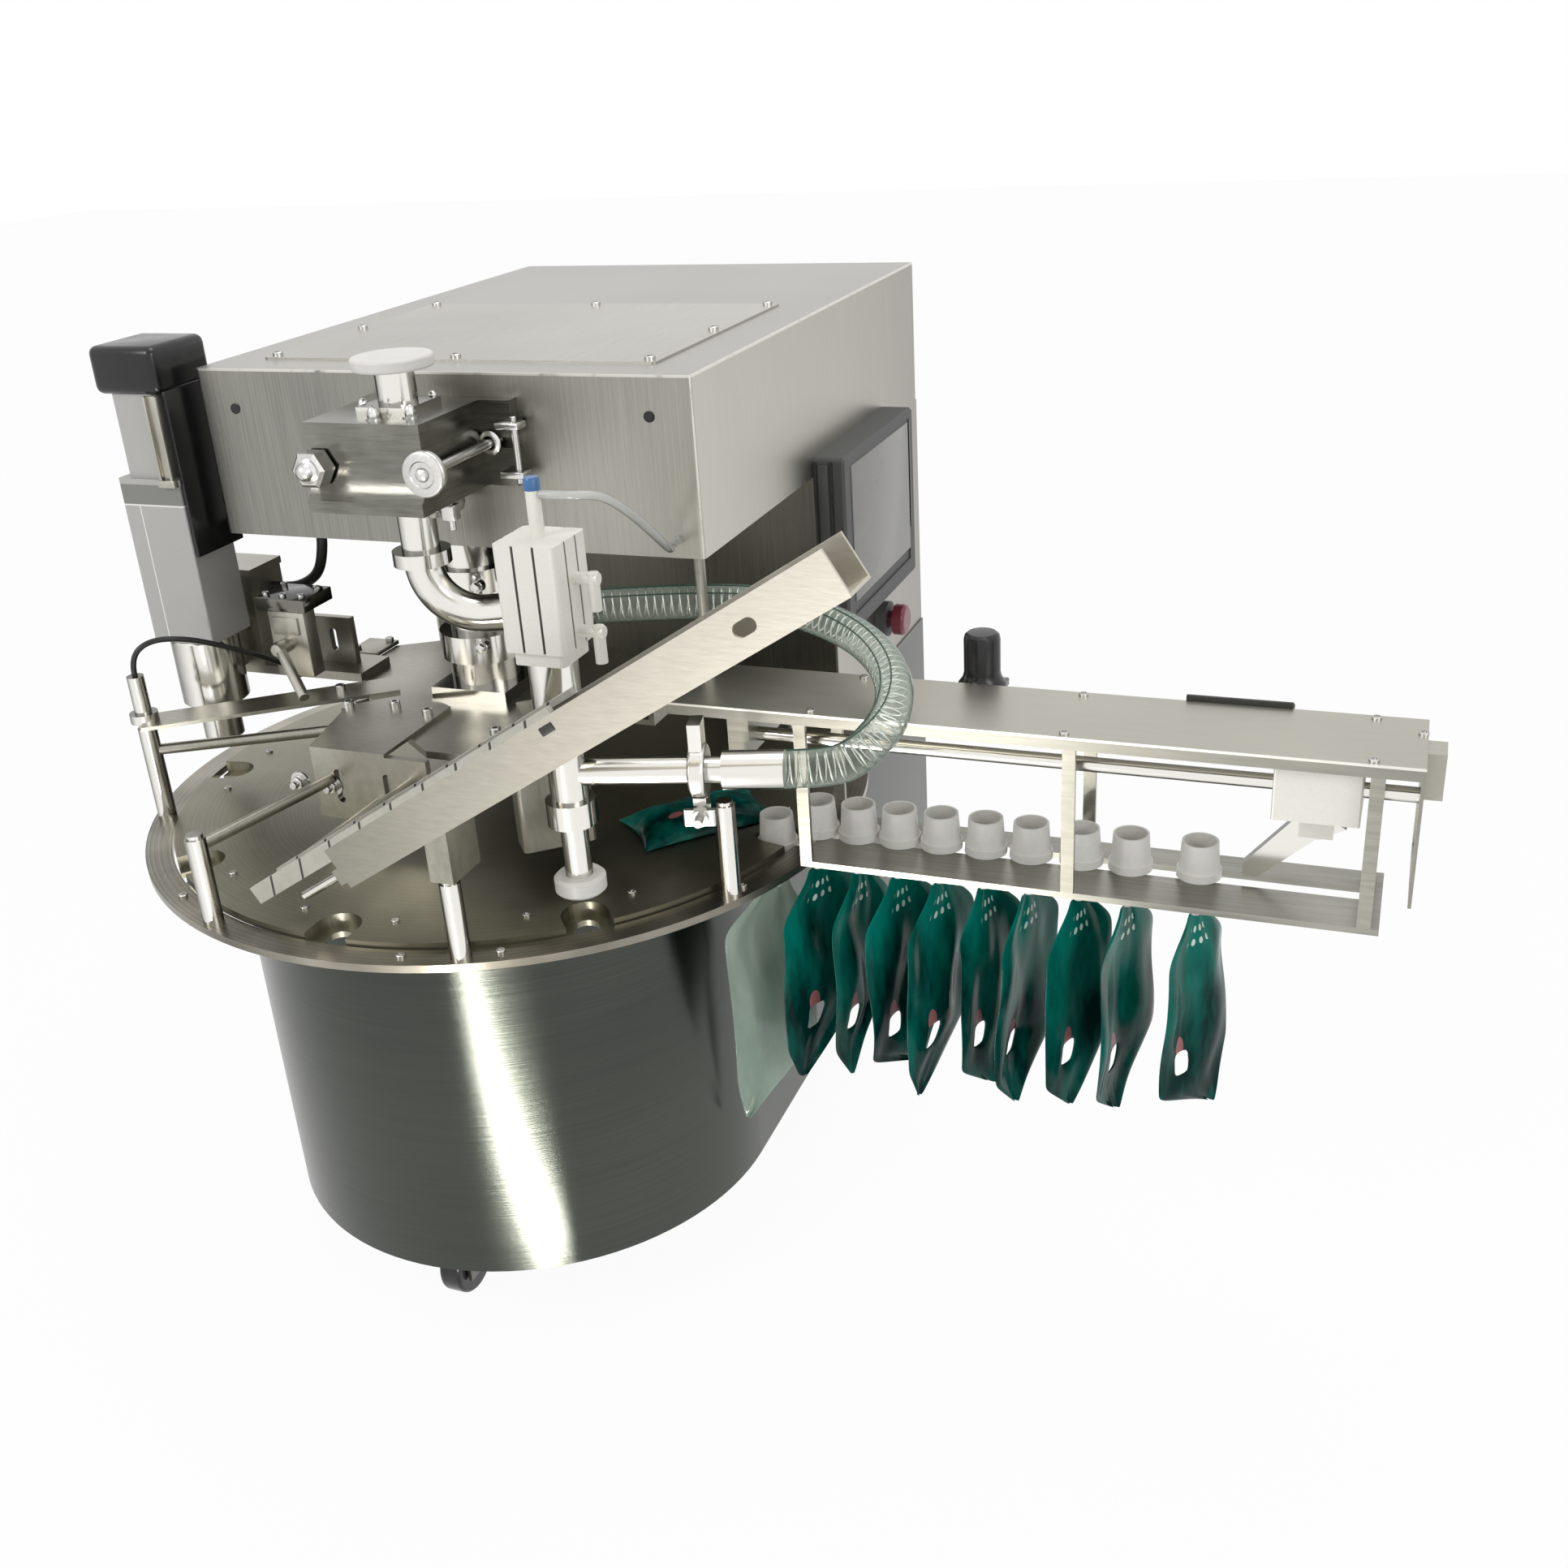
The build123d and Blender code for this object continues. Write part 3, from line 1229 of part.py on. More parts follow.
# Emergency stop: a collar on the column's side and a mushroom button that pushes in
collar_face = housing_half_width + estop_collar_depth
with BuildPart() as estop_collar:
    rod((housing_half_width, estop_y, estop_z), (collar_face, estop_y, estop_z), estop_collar_diameter)
    rod((housing_half_width, estop_y, estop_z), (collar_face, estop_y, estop_z),
        estop_stem + 2 * running_gap, Mode.SUBTRACT)
estop_collar.part.label = "estop_collar"
export_step(estop_collar.part, "parts/estop_collar.step")

with BuildPart() as estop_button:
    head_left = collar_face + 2 * estop_travel
    head_right = head_left + estop_head_depth
    rod((head_left, estop_y, estop_z), (head_right, estop_y, estop_z), estop_head_diameter)
    fillet(estop_button.faces().sort_by(Axis.X)[-1].edges(), radius=cylinder_corner)
    stem_left = housing_half_width + estop_travel + knob_seat
    rod((stem_left, estop_y, estop_z), (head_left, estop_y, estop_z), estop_stem)
estop_button.part.label = "estop_button"
export_step(estop_button.part, "parts/estop_button.step")

# Rail cover: a shallow upside-down tray with an end plate, a window in the plate and a latch
cover_low = cover_top - cover_flange
with BuildPart() as rail_cover:
    slab(cover_left, cover_right, rail_front_y, rail_back_y, cover_low, cover_top)
    slab(cover_left, cover_right - cover_sheet, rail_front_y + cover_sheet, rail_back_y - cover_sheet,
         cover_low, cover_top - cover_sheet, Mode.SUBTRACT)
    slab(cover_right - cover_sheet, cover_right, rail_front_y, rail_back_y, end_plate_bottom, cover_low)
    slab(cover_right - cover_sheet, cover_right, rail_front_y + end_window_margin,
         rail_back_y - end_window_margin, end_plate_bottom + end_window_margin,
         guide_rod_height - end_window_margin, Mode.SUBTRACT)
    latch_front = rail_middle_y - latch_width / 2
    slab(cover_right, cover_right + latch_depth, latch_front, latch_front + latch_width,
         cover_top - latch_height, cover_top - cover_sheet)
rail_cover.part.label = "rail_cover"
export_step(rail_cover.part, "parts/rail_cover.step")

# Rail plates: two flat plates with a slot for the spouts' necks, joined at the far end
with BuildPart() as rail_plates:
    slab(rail_left, rail_right, rail_front_y, rail_back_y, rail_top - rail_thickness, rail_top)
    slab(rail_left, rail_right - hanger_width, rail_y - neck_slot / 2, rail_y + neck_slot / 2,
         rail_top - rail_thickness, rail_top, Mode.SUBTRACT)
rail_plates.part.label = "rail_plates"
export_step(rail_plates.part, "parts/rail_plates.step")

# What carries the rail: flat hangers, the rods' end block, a tie post and a foot on the tool plate
with BuildPart() as rail_hangers:
    for place in hanger_places:
        left = rail_left + place
        for front in (rail_front_y, rail_back_y - hanger_thickness):
            slab(left, left + hanger_width, front, front + hanger_thickness, rail_top, cover_low)
    slab(guide_block_left, guide_block_left + guide_block_width, rail_front_y + cover_sheet,
         rail_back_y - cover_sheet, guide_rod_height - guide_rod_diameter, cover_top - cover_sheet)
    for side in (-1, 1):
        rod_y = rail_middle_y + side * guide_rod_spacing / 2
        rod((guide_block_left, rod_y, guide_rod_height),
            (guide_block_left + guide_block_width, rod_y, guide_rod_height), guide_rod_diameter,
            Mode.SUBTRACT)
    bar(tie_post_x, tie_post_y, cover_top, housing_bottom, tie_post_diameter)
    back = rail_back_y - cover_sheet
    foot_high = tool_plate_top + end_bracket
    slab(end_bracket_left, cover_left + end_bracket, back - end_bracket_width, back,
         tool_plate_top, foot_high)
    slab(cover_left, cover_left + end_bracket, back - end_bracket_width, back, foot_high,
         cover_top - cover_sheet)
rail_hangers.part.label = "rail_hangers"
export_step(rail_hangers.part, "parts/rail_hangers.step")

with BuildPart() as guide_rods:
    for side in (-1, 1):
        rod_y = rail_middle_y + side * guide_rod_spacing / 2
        rod((guide_block_left, rod_y, guide_rod_height),
            (cover_right - cover_sheet, rod_y, guide_rod_height), guide_rod_diameter)
guide_rods.part.label = "guide_rods"
export_step(guide_rods.part, "parts/guide_rods.step")

# Pusher carriage on the rods, with two ears and a pin for its pawl
pivot_x = carriage_left + carriage_width / 2
pivot_z = carriage_low - pivot_drop
with BuildPart() as pusher_carriage:
    carriage_front = rail_front_y + hanger_thickness + carriage_side_gap
    carriage_back = rail_back_y - hanger_thickness - carriage_side_gap
    slab(carriage_left, carriage_left + carriage_width, carriage_front, carriage_back, carriage_low,
         carriage_high)
    fillet(pusher_carriage.edges().filter_by(Axis.Z), radius=motor_cap_margin)
    for side in (-1, 1):
        rod_y = rail_middle_y + side * guide_rod_spacing / 2
        rod((carriage_left, rod_y, guide_rod_height),
            (carriage_left + carriage_width, rod_y, guide_rod_height),
            guide_rod_diameter + 2 * running_gap, Mode.SUBTRACT)
        ear_y = rail_y + side * (ear_gap + ear_thickness) / 2
        slab(pivot_x - ear_width / 2, pivot_x + ear_width / 2, ear_y - ear_thickness / 2,
             ear_y + ear_thickness / 2, carriage_low - ear_drop, carriage_low)
    pin_half = ear_gap / 2 + ear_thickness
    rod((pivot_x, rail_y - pin_half, pivot_z), (pivot_x, rail_y + pin_half, pivot_z), pivot_diameter)
pusher_carriage.part.label = "pusher_carriage"
export_step(pusher_carriage.part, "parts/pusher_carriage.step")

# Pawl that pushes the last spout and swings up over the others on its way back
with BuildPart() as pusher_pawl:
    tip_x, tip_z = pivot_x - pawl_reach, rail_top + pawl_tip_rise
    with BuildSketch(facing_front(rail_y)) as pawl:
        with Locations((pivot_x, pivot_z)):
            Circle(pawl_depth)
        with BuildLine():
            Polyline((pivot_x, pivot_z - pawl_depth), (tip_x + pawl_depth, tip_z), (tip_x, tip_z),
                     (tip_x, tip_z + pawl_depth), (pivot_x - pawl_reach / 3, pivot_z + pivot_diameter / 2),
                     (pivot_x, pivot_z + pawl_depth), (pivot_x + pawl_tail, pivot_z), close=True)
        make_face()
        with Locations((pivot_x, pivot_z)):
            Circle(pivot_diameter / 2 + running_gap, mode=Mode.SUBTRACT)
    extrude(pawl.sketch, amount=pawl_thickness / 2, both=True)
pusher_pawl.part.label = "pusher_pawl"
export_step(pusher_pawl.part, "parts/pusher_pawl.step")


def add_spout(x, y, seat, heading):
    """Cup on a seat, with the neck and the weld block under it, added to the open part."""
    bar(x, y, seat, seat + cup_band, cup_diameter)
    with BuildSketch(level(seat + cup_band)) as lower:
        with Locations((x, y)):
            Circle(cup_diameter / 2 - cup_wall)
    with BuildSketch(level(seat + cup_height)) as upper:
        with Locations((x, y)):
            Circle(cup_top_diameter / 2)
    loft(sections=[lower.sketch.face(), upper.sketch.face()])
    bar(x, y, seat + cup_band, seat + cup_height, cup_top_diameter - 2 * cup_wall, Mode.SUBTRACT)
    bar(x, y, seat - neck_length, seat, neck_diameter)
    with BuildSketch(turned(x, y, seat - neck_length, heading)) as weld:
        SlotOverall(weld_width, weld_thickness, rotation=90)
    extrude(weld.sketch, amount=-weld_height)


def add_bag(x, y, seat, heading, drop):
    """Flat bag under a spout: narrow at the weld, wide lower down, and pointed at its foot."""
    top = seat - neck_length - weld_height
    with BuildSketch(upright(x, y, heading + 90)) as film:
        with BuildLine():
            shoulder, corner = (weld_width / 2, top), (bag_half_width, top - bag_drop_to_widest)
            tip = (bag_tip_width / 2, top - drop)
            Polyline(shoulder, corner, tip, (-tip[0], tip[1]), (-corner[0], corner[1]),
                     (-shoulder[0], shoulder[1]), close=True)
        make_face()
        fillet(film.vertices(), radius=bag_tip_width / 3)
    extrude(film.sketch, amount=bag_thickness / 2, both=True)


# Pouches waiting on the rail: their spouts and their bags
rail_seat = rail_top + seat_gap
with BuildPart() as row_spouts:
    for x in row_places:
        add_spout(x, rail_y, rail_seat, 0)
row_spouts.part.label = "row_spouts"
export_step(row_spouts.part, "parts/row_spouts.step")

with BuildPart() as row_bags:
    for x in row_places:
        add_bag(x, rail_y, rail_seat, 0, bag_drop)
row_bags.part.label = "row_bags"
export_step(row_bags.part, "parts/row_bags.step")

# First pouch, already in the table's pocket at the infeed station
pocket_x, pocket_y = around(first_station, pocket_circle)
with BuildPart() as first_spout:
    add_spout(pocket_x, pocket_y, cup_seat + seat_gap, first_station)
with BuildPart() as first_bag:
    add_bag(pocket_x, pocket_y, cup_seat + seat_gap, first_station, first_bag_drop)
first_pouch = Compound(label="first_pouch", children=[first_spout.part, first_bag.part])
export_step(first_pouch, "parts/first_pouch.step")

# Filled pouch that lies on the turntable behind the nozzle
with BuildPart() as loose_pouch:
    lying_x, lying_y = around(loose_bearing, loose_radius)
    with BuildSketch(turned(lying_x, lying_y, disc_top + seat_gap, loose_heading)) as pillow:
        RectangleRounded(loose_length, loose_width, loose_height)
    extrude(pillow.sketch, amount=loose_height)
    fillet(loose_pouch.edges().group_by(Axis.Z)[0] + loose_pouch.edges().group_by(Axis.Z)[-1],
           radius=loose_height / 3)
loose_pouch.part.label = "loose_pouch"
export_step(loose_pouch.part, "parts/loose_pouch.step")


def bend_radii(points):
    """Radius at each corner: as large as the two runs that meet there allow."""
    radii = []
    for before, corner, after in zip(points, points[1:], points[2:]):
        first, second = Vector(*corner) - Vector(*before), Vector(*after) - Vector(*corner)
        shorter = min(first.length, second.length)
        radii.append(0.45 * shorter / math.tan(math.radians(first.get_angle(second)) / 2))
    return radii


# Flexible lines, each along its own route of straight runs and tangent arcs
turn = math.radians(outlet_heading)
hose_route = ((outlet_x, outlet_y, line_start),
              (outlet_x + hose_first_run * math.cos(turn),
               outlet_y + hose_first_run * math.sin(turn), line_start),
              (328, -10, 762), (386, -26, 756), (435, -48, 747), (470, -78, 736), (492, -114, 723),
              (497, -153, 706), (482, -187, 689), on_line(sleeve_end + hose_last_run), on_line(sleeve_end))
fitting_side = nozzle_x + fitting_diameter / 2
tube_port = cylinder_top + fitting_height - fitting_diameter
tube_route = ((fitting_side, nozzle_y, tube_port), (fitting_side + 28, nozzle_y, tube_port),
              (280, -248, 934), (292, -218, 908), (292, -178, 878), (283, -138, 855), (269, -100, 841),
              (256, housing_front - 18, 836), (256, housing_front, 836))
sensor_top = arm_top + sensor_height
sensor_route = ((first_post_x, first_post_y, sensor_top), (first_post_x, first_post_y, 712),
                (-328, -160, 728), (-304, -132, 722), (-282, -98, 702), (-264, -62, 678),
                (-256, -34, 658), (-254, tower_front_y - 16, 640), (-254, tower_front_y, 640))
drive_route = ((tower_right, 30, 728), (tower_right + 24, 30, 728), (-256, 28, 736), (-234, 25, 752),
               (-222, 22, 782), (-220, 22, housing_bottom - 14), (-220, 22, housing_bottom))
for name, diameter, route in (
    ("product_hose", hose_diameter, hose_route),
    ("air_tube", air_tube_diameter, tube_route),
    ("sensor_cable", cable_diameter, sensor_route),
    ("drive_cable", drive_cable_diameter, drive_route),
):
    with BuildPart() as line:
        points = [spot(*point) for point in route]
        radii = bend_radii(points)
        with BuildLine() as path:
            FilletPolyline(*points, radius=radii)
        wire = path.wire()
        with BuildSketch(Plane(origin=wire @ 0, z_dir=wire % 0)):
            Circle(diameter / 2)
        sweep(path=wire)
    print(name, "radii", [round(radius) for radius in radii], "length", round(wire.length),
          "volume share", round(line.part.volume / (math.pi * diameter ** 2 / 4 * wire.length), 4))
    line.part.label = name
    export_step(line.part, f"parts/{name}.step")
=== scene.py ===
import math

import bmesh
import bpy
from mathutils import Matrix, Vector, noise


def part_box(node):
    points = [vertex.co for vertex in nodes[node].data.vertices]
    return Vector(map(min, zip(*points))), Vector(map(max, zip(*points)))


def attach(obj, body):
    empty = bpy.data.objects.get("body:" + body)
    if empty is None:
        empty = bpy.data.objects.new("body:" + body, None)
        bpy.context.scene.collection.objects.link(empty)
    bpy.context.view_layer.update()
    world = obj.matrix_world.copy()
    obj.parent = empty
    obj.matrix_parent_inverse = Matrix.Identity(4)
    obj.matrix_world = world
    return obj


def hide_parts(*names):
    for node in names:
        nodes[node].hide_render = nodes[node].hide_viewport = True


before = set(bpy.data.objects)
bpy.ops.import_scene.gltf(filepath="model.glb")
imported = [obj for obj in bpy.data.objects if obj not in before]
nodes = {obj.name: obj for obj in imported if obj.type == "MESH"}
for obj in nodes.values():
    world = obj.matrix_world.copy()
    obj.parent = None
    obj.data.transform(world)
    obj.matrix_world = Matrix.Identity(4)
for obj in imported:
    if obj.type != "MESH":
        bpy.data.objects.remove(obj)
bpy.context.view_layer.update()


# Lower cabinet: a rolled drum of stainless sheet that runs into a box at the back, with its deck.
# The sheet is brushed level round the drum, which stretches the lights on it upwards.
class Signal:
    """A value in a finish, on which Python's operators add Math nodes."""

    def __init__(self, finish, socket):
        self.finish, self.socket = finish, socket

    def maths(self, operation, *values):
        return self.finish.node("ShaderNodeMath", {"operation": operation}, *values)

    def __add__(self, other):
        return self.maths("ADD", self, other)

    def __mul__(self, other):
        return self.maths("MULTIPLY", self, other)

    def __gt__(self, other):
        return self.maths("GREATER_THAN", self, other)

    def __lt__(self, other):
        return self.maths("LESS_THAN", self, other)


class Finish:
    """A material: fixed sockets are given by name, and node() adds any other node."""

    def __init__(self, name, **fixed):
        self.material = bpy.data.materials.new(name)
        self.material.use_nodes = True
        self.tree = self.material.node_tree
        self.shader = self.tree.nodes["Principled BSDF"]
        for socket, value in fixed.items():
            self.shader.inputs[socket.replace("_", " ")].default_value = value

    def plug(self, value, socket):
        if isinstance(value, Signal):
            self.tree.links.new(value.socket, socket)
        else:
            socket.default_value = value

    def node(self, kind, settings=None, *values, output=0, **sockets):
        made = self.tree.nodes.new(kind)
        for setting, value in (settings or {}).items():
            setattr(made, setting, value)
        for index, value in enumerate(values):
            self.plug(value, made.inputs[index])
        for socket, value in sockets.items():
            self.plug(value, made.inputs[socket.replace("_", " ")])
        return Signal(self, made.outputs[output])

    def drive(self, **signals):
        for socket, value in signals.items():
            self.plug(value, self.shader.inputs[socket.replace("_", " ")])

    def blend(self, factor, first, second):
        """Colour between two colours or colour signals."""
        mix = self.tree.nodes.new("ShaderNodeMix")
        mix.data_type = "RGBA"
        colour_sockets = [socket for socket in mix.inputs if socket.type == "RGBA"]
        for value, socket in zip((factor, first, second), (mix.inputs["Factor"], *colour_sockets)):
            if isinstance(value, tuple):
                value = (*value, 1)
            self.plug(value, socket)
        return Signal(self, next(socket for socket in mix.outputs if socket.type == "RGBA"))

    def place(self):
        return self.node("ShaderNodeTexCoord", output="Object")

    def along(self, axis, place=None):
        """Distance along X, Y or Z, in metres."""
        return self.node("ShaderNodeSeparateXYZ", None, place or self.place(), output="XYZ".index(axis))

    def between(self, value, low, high, soft):
        """1 between two values and 0 outside them, with soft edges."""
        rise = self.node("ShaderNodeMapRange", None, value, low - soft, low + soft, 0.0, 1.0)
        fall = self.node("ShaderNodeMapRange", None, value, high - soft, high + soft, 1.0, 0.0)
        return rise * fall

    def grain(self, cells, detail=3.0):
        """Noise with so many cells per metre, the same each way or given along X, Y and Z."""
        scale = cells if isinstance(cells, tuple) else (cells, cells, cells)
        mapped = self.node("ShaderNodeMapping", Vector=self.place(), Scale=scale)
        return self.node("ShaderNodeTexNoise", None, Vector=mapped, Scale=1.0, Detail=detail, Roughness=0.6)

    def spread(self, value, low=0.35, high=0.65):
        """A value stretched to run from 0 to 1 between two values, as noise hardly does by itself."""
        return self.node("ShaderNodeMapRange", None, value, low, high, 0.0, 1.0)

    def edge(self, blend=0.5):
        """How far the surface turns away from the eye."""
        return self.node("ShaderNodeLayerWeight", None, blend, output="Facing")

    def bump(self, height, distance, strength=1.0):
        return self.node("ShaderNodeBump", Height=height, Distance=distance, Strength=strength)

    def give(self, *objects):
        for thing in objects:
            thing = nodes[thing] if isinstance(thing, str) else thing
            if not thing.material_slots:
                thing.data.materials.append(self.material)
            for slot in thing.material_slots:
                slot.material = self.material


fine_share, scratch_depth, line_strength = 0.3, 0.0004, 0.3


def brushed(name, light, dark, along_x, along_y, rough=0.3, spread=0.12, patches=2.5, **fixed):
    """Brushed metal: fine lines that differ on faces across X and across Y, and soft broad patches."""
    finish = Finish(name, **{"Metallic": 1.0, **fixed})
    normal = finish.node("ShaderNodeNewGeometry", output="Normal")
    facing = finish.node("ShaderNodeSeparateXYZ", None, normal)
    fine = finish.node("ShaderNodeMix", {"data_type": "FLOAT"}, Factor=facing.maths("ABSOLUTE", facing),
                       A=finish.grain(along_y), B=finish.grain(along_x))
    broad = finish.grain(patches, 2.0)
    tone = finish.spread(fine * fine_share + broad * (1 - fine_share))
    finish.drive(
        Base_Color=finish.blend(tone, dark, light),
        Roughness=fine * spread + (rough - spread / 2),
        Normal=finish.bump(fine, scratch_depth, line_strength),
    )
    finish.tone = tone
    return finish


level_brush = (4, 4, 900)
drum_steel = brushed("drum_steel", (0.095, 0.10, 0.088), (0.055, 0.06, 0.053), level_brush, level_brush,
                     0.22, 0.05, patches=1.6, Anisotropic=0.9, Anisotropic_Rotation=0.25)
drum_steel.give("base_shell")
deck_steel = brushed("deck_steel", (0.20, 0.19, 0.17), (0.11, 0.105, 0.09), (500, 20, 20), (500, 20, 20))
deck_steel.give("base_deck", "caster_plates", "nose_caster_fork", "index_shaft", "index_drive")


# Casters: a black moulded wheel in each fork, turning on the fork's axle.
# The wheels are scuffed and slightly rough.
def mottled(name, cells, first, second, rough, spread=0.2, relief=0.0, detail=3.0, **fixed):
    """Plastic, rubber or a coating: colour and gloss vary together, over a little relief."""
    finish = Finish(name, **fixed)
    mottle = finish.grain(cells, detail)
    finish.drive(Base_Color=finish.blend(mottle, first, second), Roughness=mottle * spread + rough)
    if relief:
        finish.drive(Normal=finish.bump(mottle, relief))
    return finish


wheel_rubber = mottled("wheel_rubber", 90, (0.006, 0.006, 0.006), (0.02, 0.02, 0.02), 0.1, 0.25, 0.0003,
                       Specular_IOR_Level=0.5)
wheel_rubber.give("nose_wheel", "left_wheel", "right_wheel")

# Column and upper housing: folded stainless sheet, brushed upright on the walls and lengthwise on top.
# The folds have painted highlights, the top is painted lighter, and the right side is painted light at the
# front and shaded at the back.
# Screws hold the lid, and three small holes in the front wall have black plugs.
fold, fold_highlight_colour = 0.0022, (0.80, 0.78, 0.72)
upright_brush, upright_brush_front, lid_brush = (20, 700, 9), (700, 20, 9), (700, 14, 9)


def folded_sheet(name, light, dark, side_lit_front, side_shaded_back, low, high, rough, patches):
    """Sheet steel between two corners, with painted highlights along its folds and cut edges, a top painted
    lighter, and a right side painted light at the front and shaded at the back.
    """
    finish = brushed(name, light, dark, upright_brush, upright_brush_front, rough, patches=patches)
    # Painted highlight: a bright line along the front, right and top folds, broken up by noise.
    front = finish.along("Y") < low[1] + fold
    corner = finish.along("X") > high[0] - fold
    crown = finish.along("Z") > high[2] - fold
    fold_lines = front * crown + front * corner + corner * crown
    fold_highlight = fold_lines.maths("MINIMUM", fold_lines, 1.0) * finish.spread(finish.grain(40), 0.25, 0.45) * 0.75
    # Painted light and shade: the right side fades from a lit front to a shaded back, and the top is painted
    # lighter.
    right = finish.along("X") > high[0] - fold / 4
    top = finish.along("Z") > high[2] - fold / 4
    depth = finish.spread(finish.along("Y"), low[1], high[1])
    side = finish.blend(finish.tone * 0.3 + depth * 0.7, side_lit_front, side_shaded_back)
    walls = finish.blend(right, finish.blend(finish.tone, dark, light), side)
    painted_top_light = finish.blend(finish.tone, (0.37, 0.36, 0.335), (0.46, 0.45, 0.415))
    finish.drive(Base_Color=finish.blend(fold_highlight, finish.blend(top, walls, painted_top_light), fold_highlight_colour))
    return finish


# The two side colours are the right side's painted light at its front and painted shade at its back.
housing_steel = folded_sheet("housing_steel", (0.235, 0.235, 0.215), (0.44, 0.425, 0.375),
                             (0.55, 0.53, 0.47), (0.32, 0.305, 0.275), *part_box("upper_housing"), 0.36, 1.7)
housing_steel.give("upper_housing", "column_shell")
front_steel = brushed("front_steel", (0.24, 0.235, 0.20), (0.12, 0.118, 0.10), upright_brush,
                      upright_brush_front, 0.36)
front_steel.give("column_front")
lid_steel = brushed("lid_steel", (0.40, 0.39, 0.36), (0.53, 0.515, 0.47), lid_brush, lid_brush, 0.36,
                    patches=1.8)
lid_steel.give("housing_lid")

# Screw steel: worn faces, with a painted reflection that darkens them where they turn away from the eye.
screw_steel = Finish("screw_steel", Metallic=1.0)
screw_wear = screw_steel.grain(400)
screw_face = screw_steel.blend(screw_wear, (0.7, 0.69, 0.66), (0.95, 0.94, 0.92))
screw_steel.drive(
    Base_Color=screw_steel.blend(screw_steel.edge(0.4), screw_face, (0.10, 0.10, 0.09)),
    Roughness=screw_wear * 0.2 + 0.12,
)
black_gloss = mottled("black_gloss", 60, (0.004, 0.004, 0.005), (0.014, 0.014, 0.015), 0.12,
                      Specular_IOR_Level=0.5)
axis_x, axis_y = -285, -136


def at(x, y, z):
    """A place given in millimetres from the table's axis, in metres in the frame."""
    return Vector(((x + axis_x) / 1000, (y + axis_y) / 1000, z / 1000))


def aim(place, direction):
    """Matrix that puts a shape made along +Z at a place, pointing along a direction."""
    turn = Vector((0, 0, 1)).rotation_difference(Vector(direction)).to_matrix().to_4x4()
    return Matrix.Translation(Vector(place)) @ turn


def join(shape, part, matrix=Matrix()):
    """Adds a finished part, made in millimetres, to a piece at its place."""
    bmesh.ops.remove_doubles(part, verts=part.verts, dist=1e-4)
    bmesh.ops.recalc_face_normals(part, faces=part.faces)
    bmesh.ops.transform(part, matrix=matrix @ Matrix.Scale(0.001, 4), verts=part.verts)
    spare = bpy.data.meshes.new("part")
    part.to_mesh(spare)
    part.free()
    shape.from_mesh(spare)
    bpy.data.meshes.remove(spare)


def turned(shape, profile, matrix, steps=24):
    """Spins a profile of (radius, height) in millimetres about Z."""
    part = bmesh.new()
    rim = [part.verts.new((radius, 0, height)) for radius, height in profile]
    edges = [part.edges.new(pair) for pair in zip(rim, rim[1:])]
    bmesh.ops.spin(part, geom=rim + edges, axis=(0, 0, 1), cent=(0, 0, 0), steps=steps, angle=math.tau,
                   use_merge=True)
    join(shape, part, matrix)


def rod(shape, start, end, radius):
    """Round bar between two places in millimetres, its ends chamfered."""
    start, end, broken = at(*start), at(*end), 0.5
    length = (end - start).length * 1000
    turned(shape, [(0, 0), (radius - broken, 0), (radius, broken), (radius, length - broken),
                   (radius - broken, length), (0, length)], aim(start, end - start), 20)


def block(shape, low, high, broken=0.6, turn=Matrix(), segments=2):
    """Machined block between two corners in millimetres, its edges broken."""
    low, high = Vector(low), Vector(high)
    middle, size = (low + high) / 2, high - low
    part = bmesh.new()
    bmesh.ops.create_cube(part, size=1, matrix=Matrix.Diagonal((*size, 1)))
    bmesh.ops.bevel(part, geom=part.edges[:], offset=broken, segments=segments, affect="EDGES", profile=0.5,
                    material=-1)
    join(shape, part, Matrix.Translation(at(*middle)) @ turn)


def screw(shape, place, direction, width, height):
    """Socket-head screw: a turned head with a socket sunk in it."""
    half, rim = width / 2, width * 0.07
    socket, sunk = half * 0.5, height * 0.4
    turned(shape, [(0, sunk), (socket, sunk), (socket, height), (half - rim, height), (half, height - rim),
                   (half, 0), (0, 0)], aim(at(*place), direction), 16)


def hexagon(shape, place, direction, width, height):
    """Six-sided nut or bolt head with its corners broken."""
    part, half = bmesh.new(), width / 2
    bmesh.ops.create_cone(part, cap_ends=True, segments=6, radius1=half, radius2=half, depth=height,
                          matrix=Matrix.Translation((0, 0, height / 2)))
    bmesh.ops.bevel(part, geom=part.edges[:], offset=width * 0.04, segments=2, affect="EDGES", profile=0.5,
                    material=-1)
    join(shape, part, aim(at(*place), direction))


def acorn(shape, place, direction, width, height):
    """Domed cap nut: a washer, a six-sided base and a turned dome."""
    washer, dome_foot = width * 0.62, 0.45
    matrix, thick = aim(at(*place), direction), height * 0.1
    turned(shape, [(0, 0), (washer, 0), (washer, thick), (0, thick)], matrix, 20)
    hexagon(shape, place, direction, width, height * 0.5)
    climbs = [step * math.pi / 12 for step in range(7)]
    dome = [(width * 0.42 * math.cos(climb), height * (dome_foot + (1 - dome_foot) * math.sin(climb)))
            for climb in climbs]
    turned(shape, [(0, height * dome_foot), *dome], matrix, 18)


def around(radius, degrees, height, middle=(0, 0)):
    """A place on a level circle about the table's axis, or about another middle."""
    angle = math.radians(degrees)
    return middle[0] + radius * math.cos(angle), middle[1] + radius * math.sin(angle), height


sharp_angle = math.radians(35)


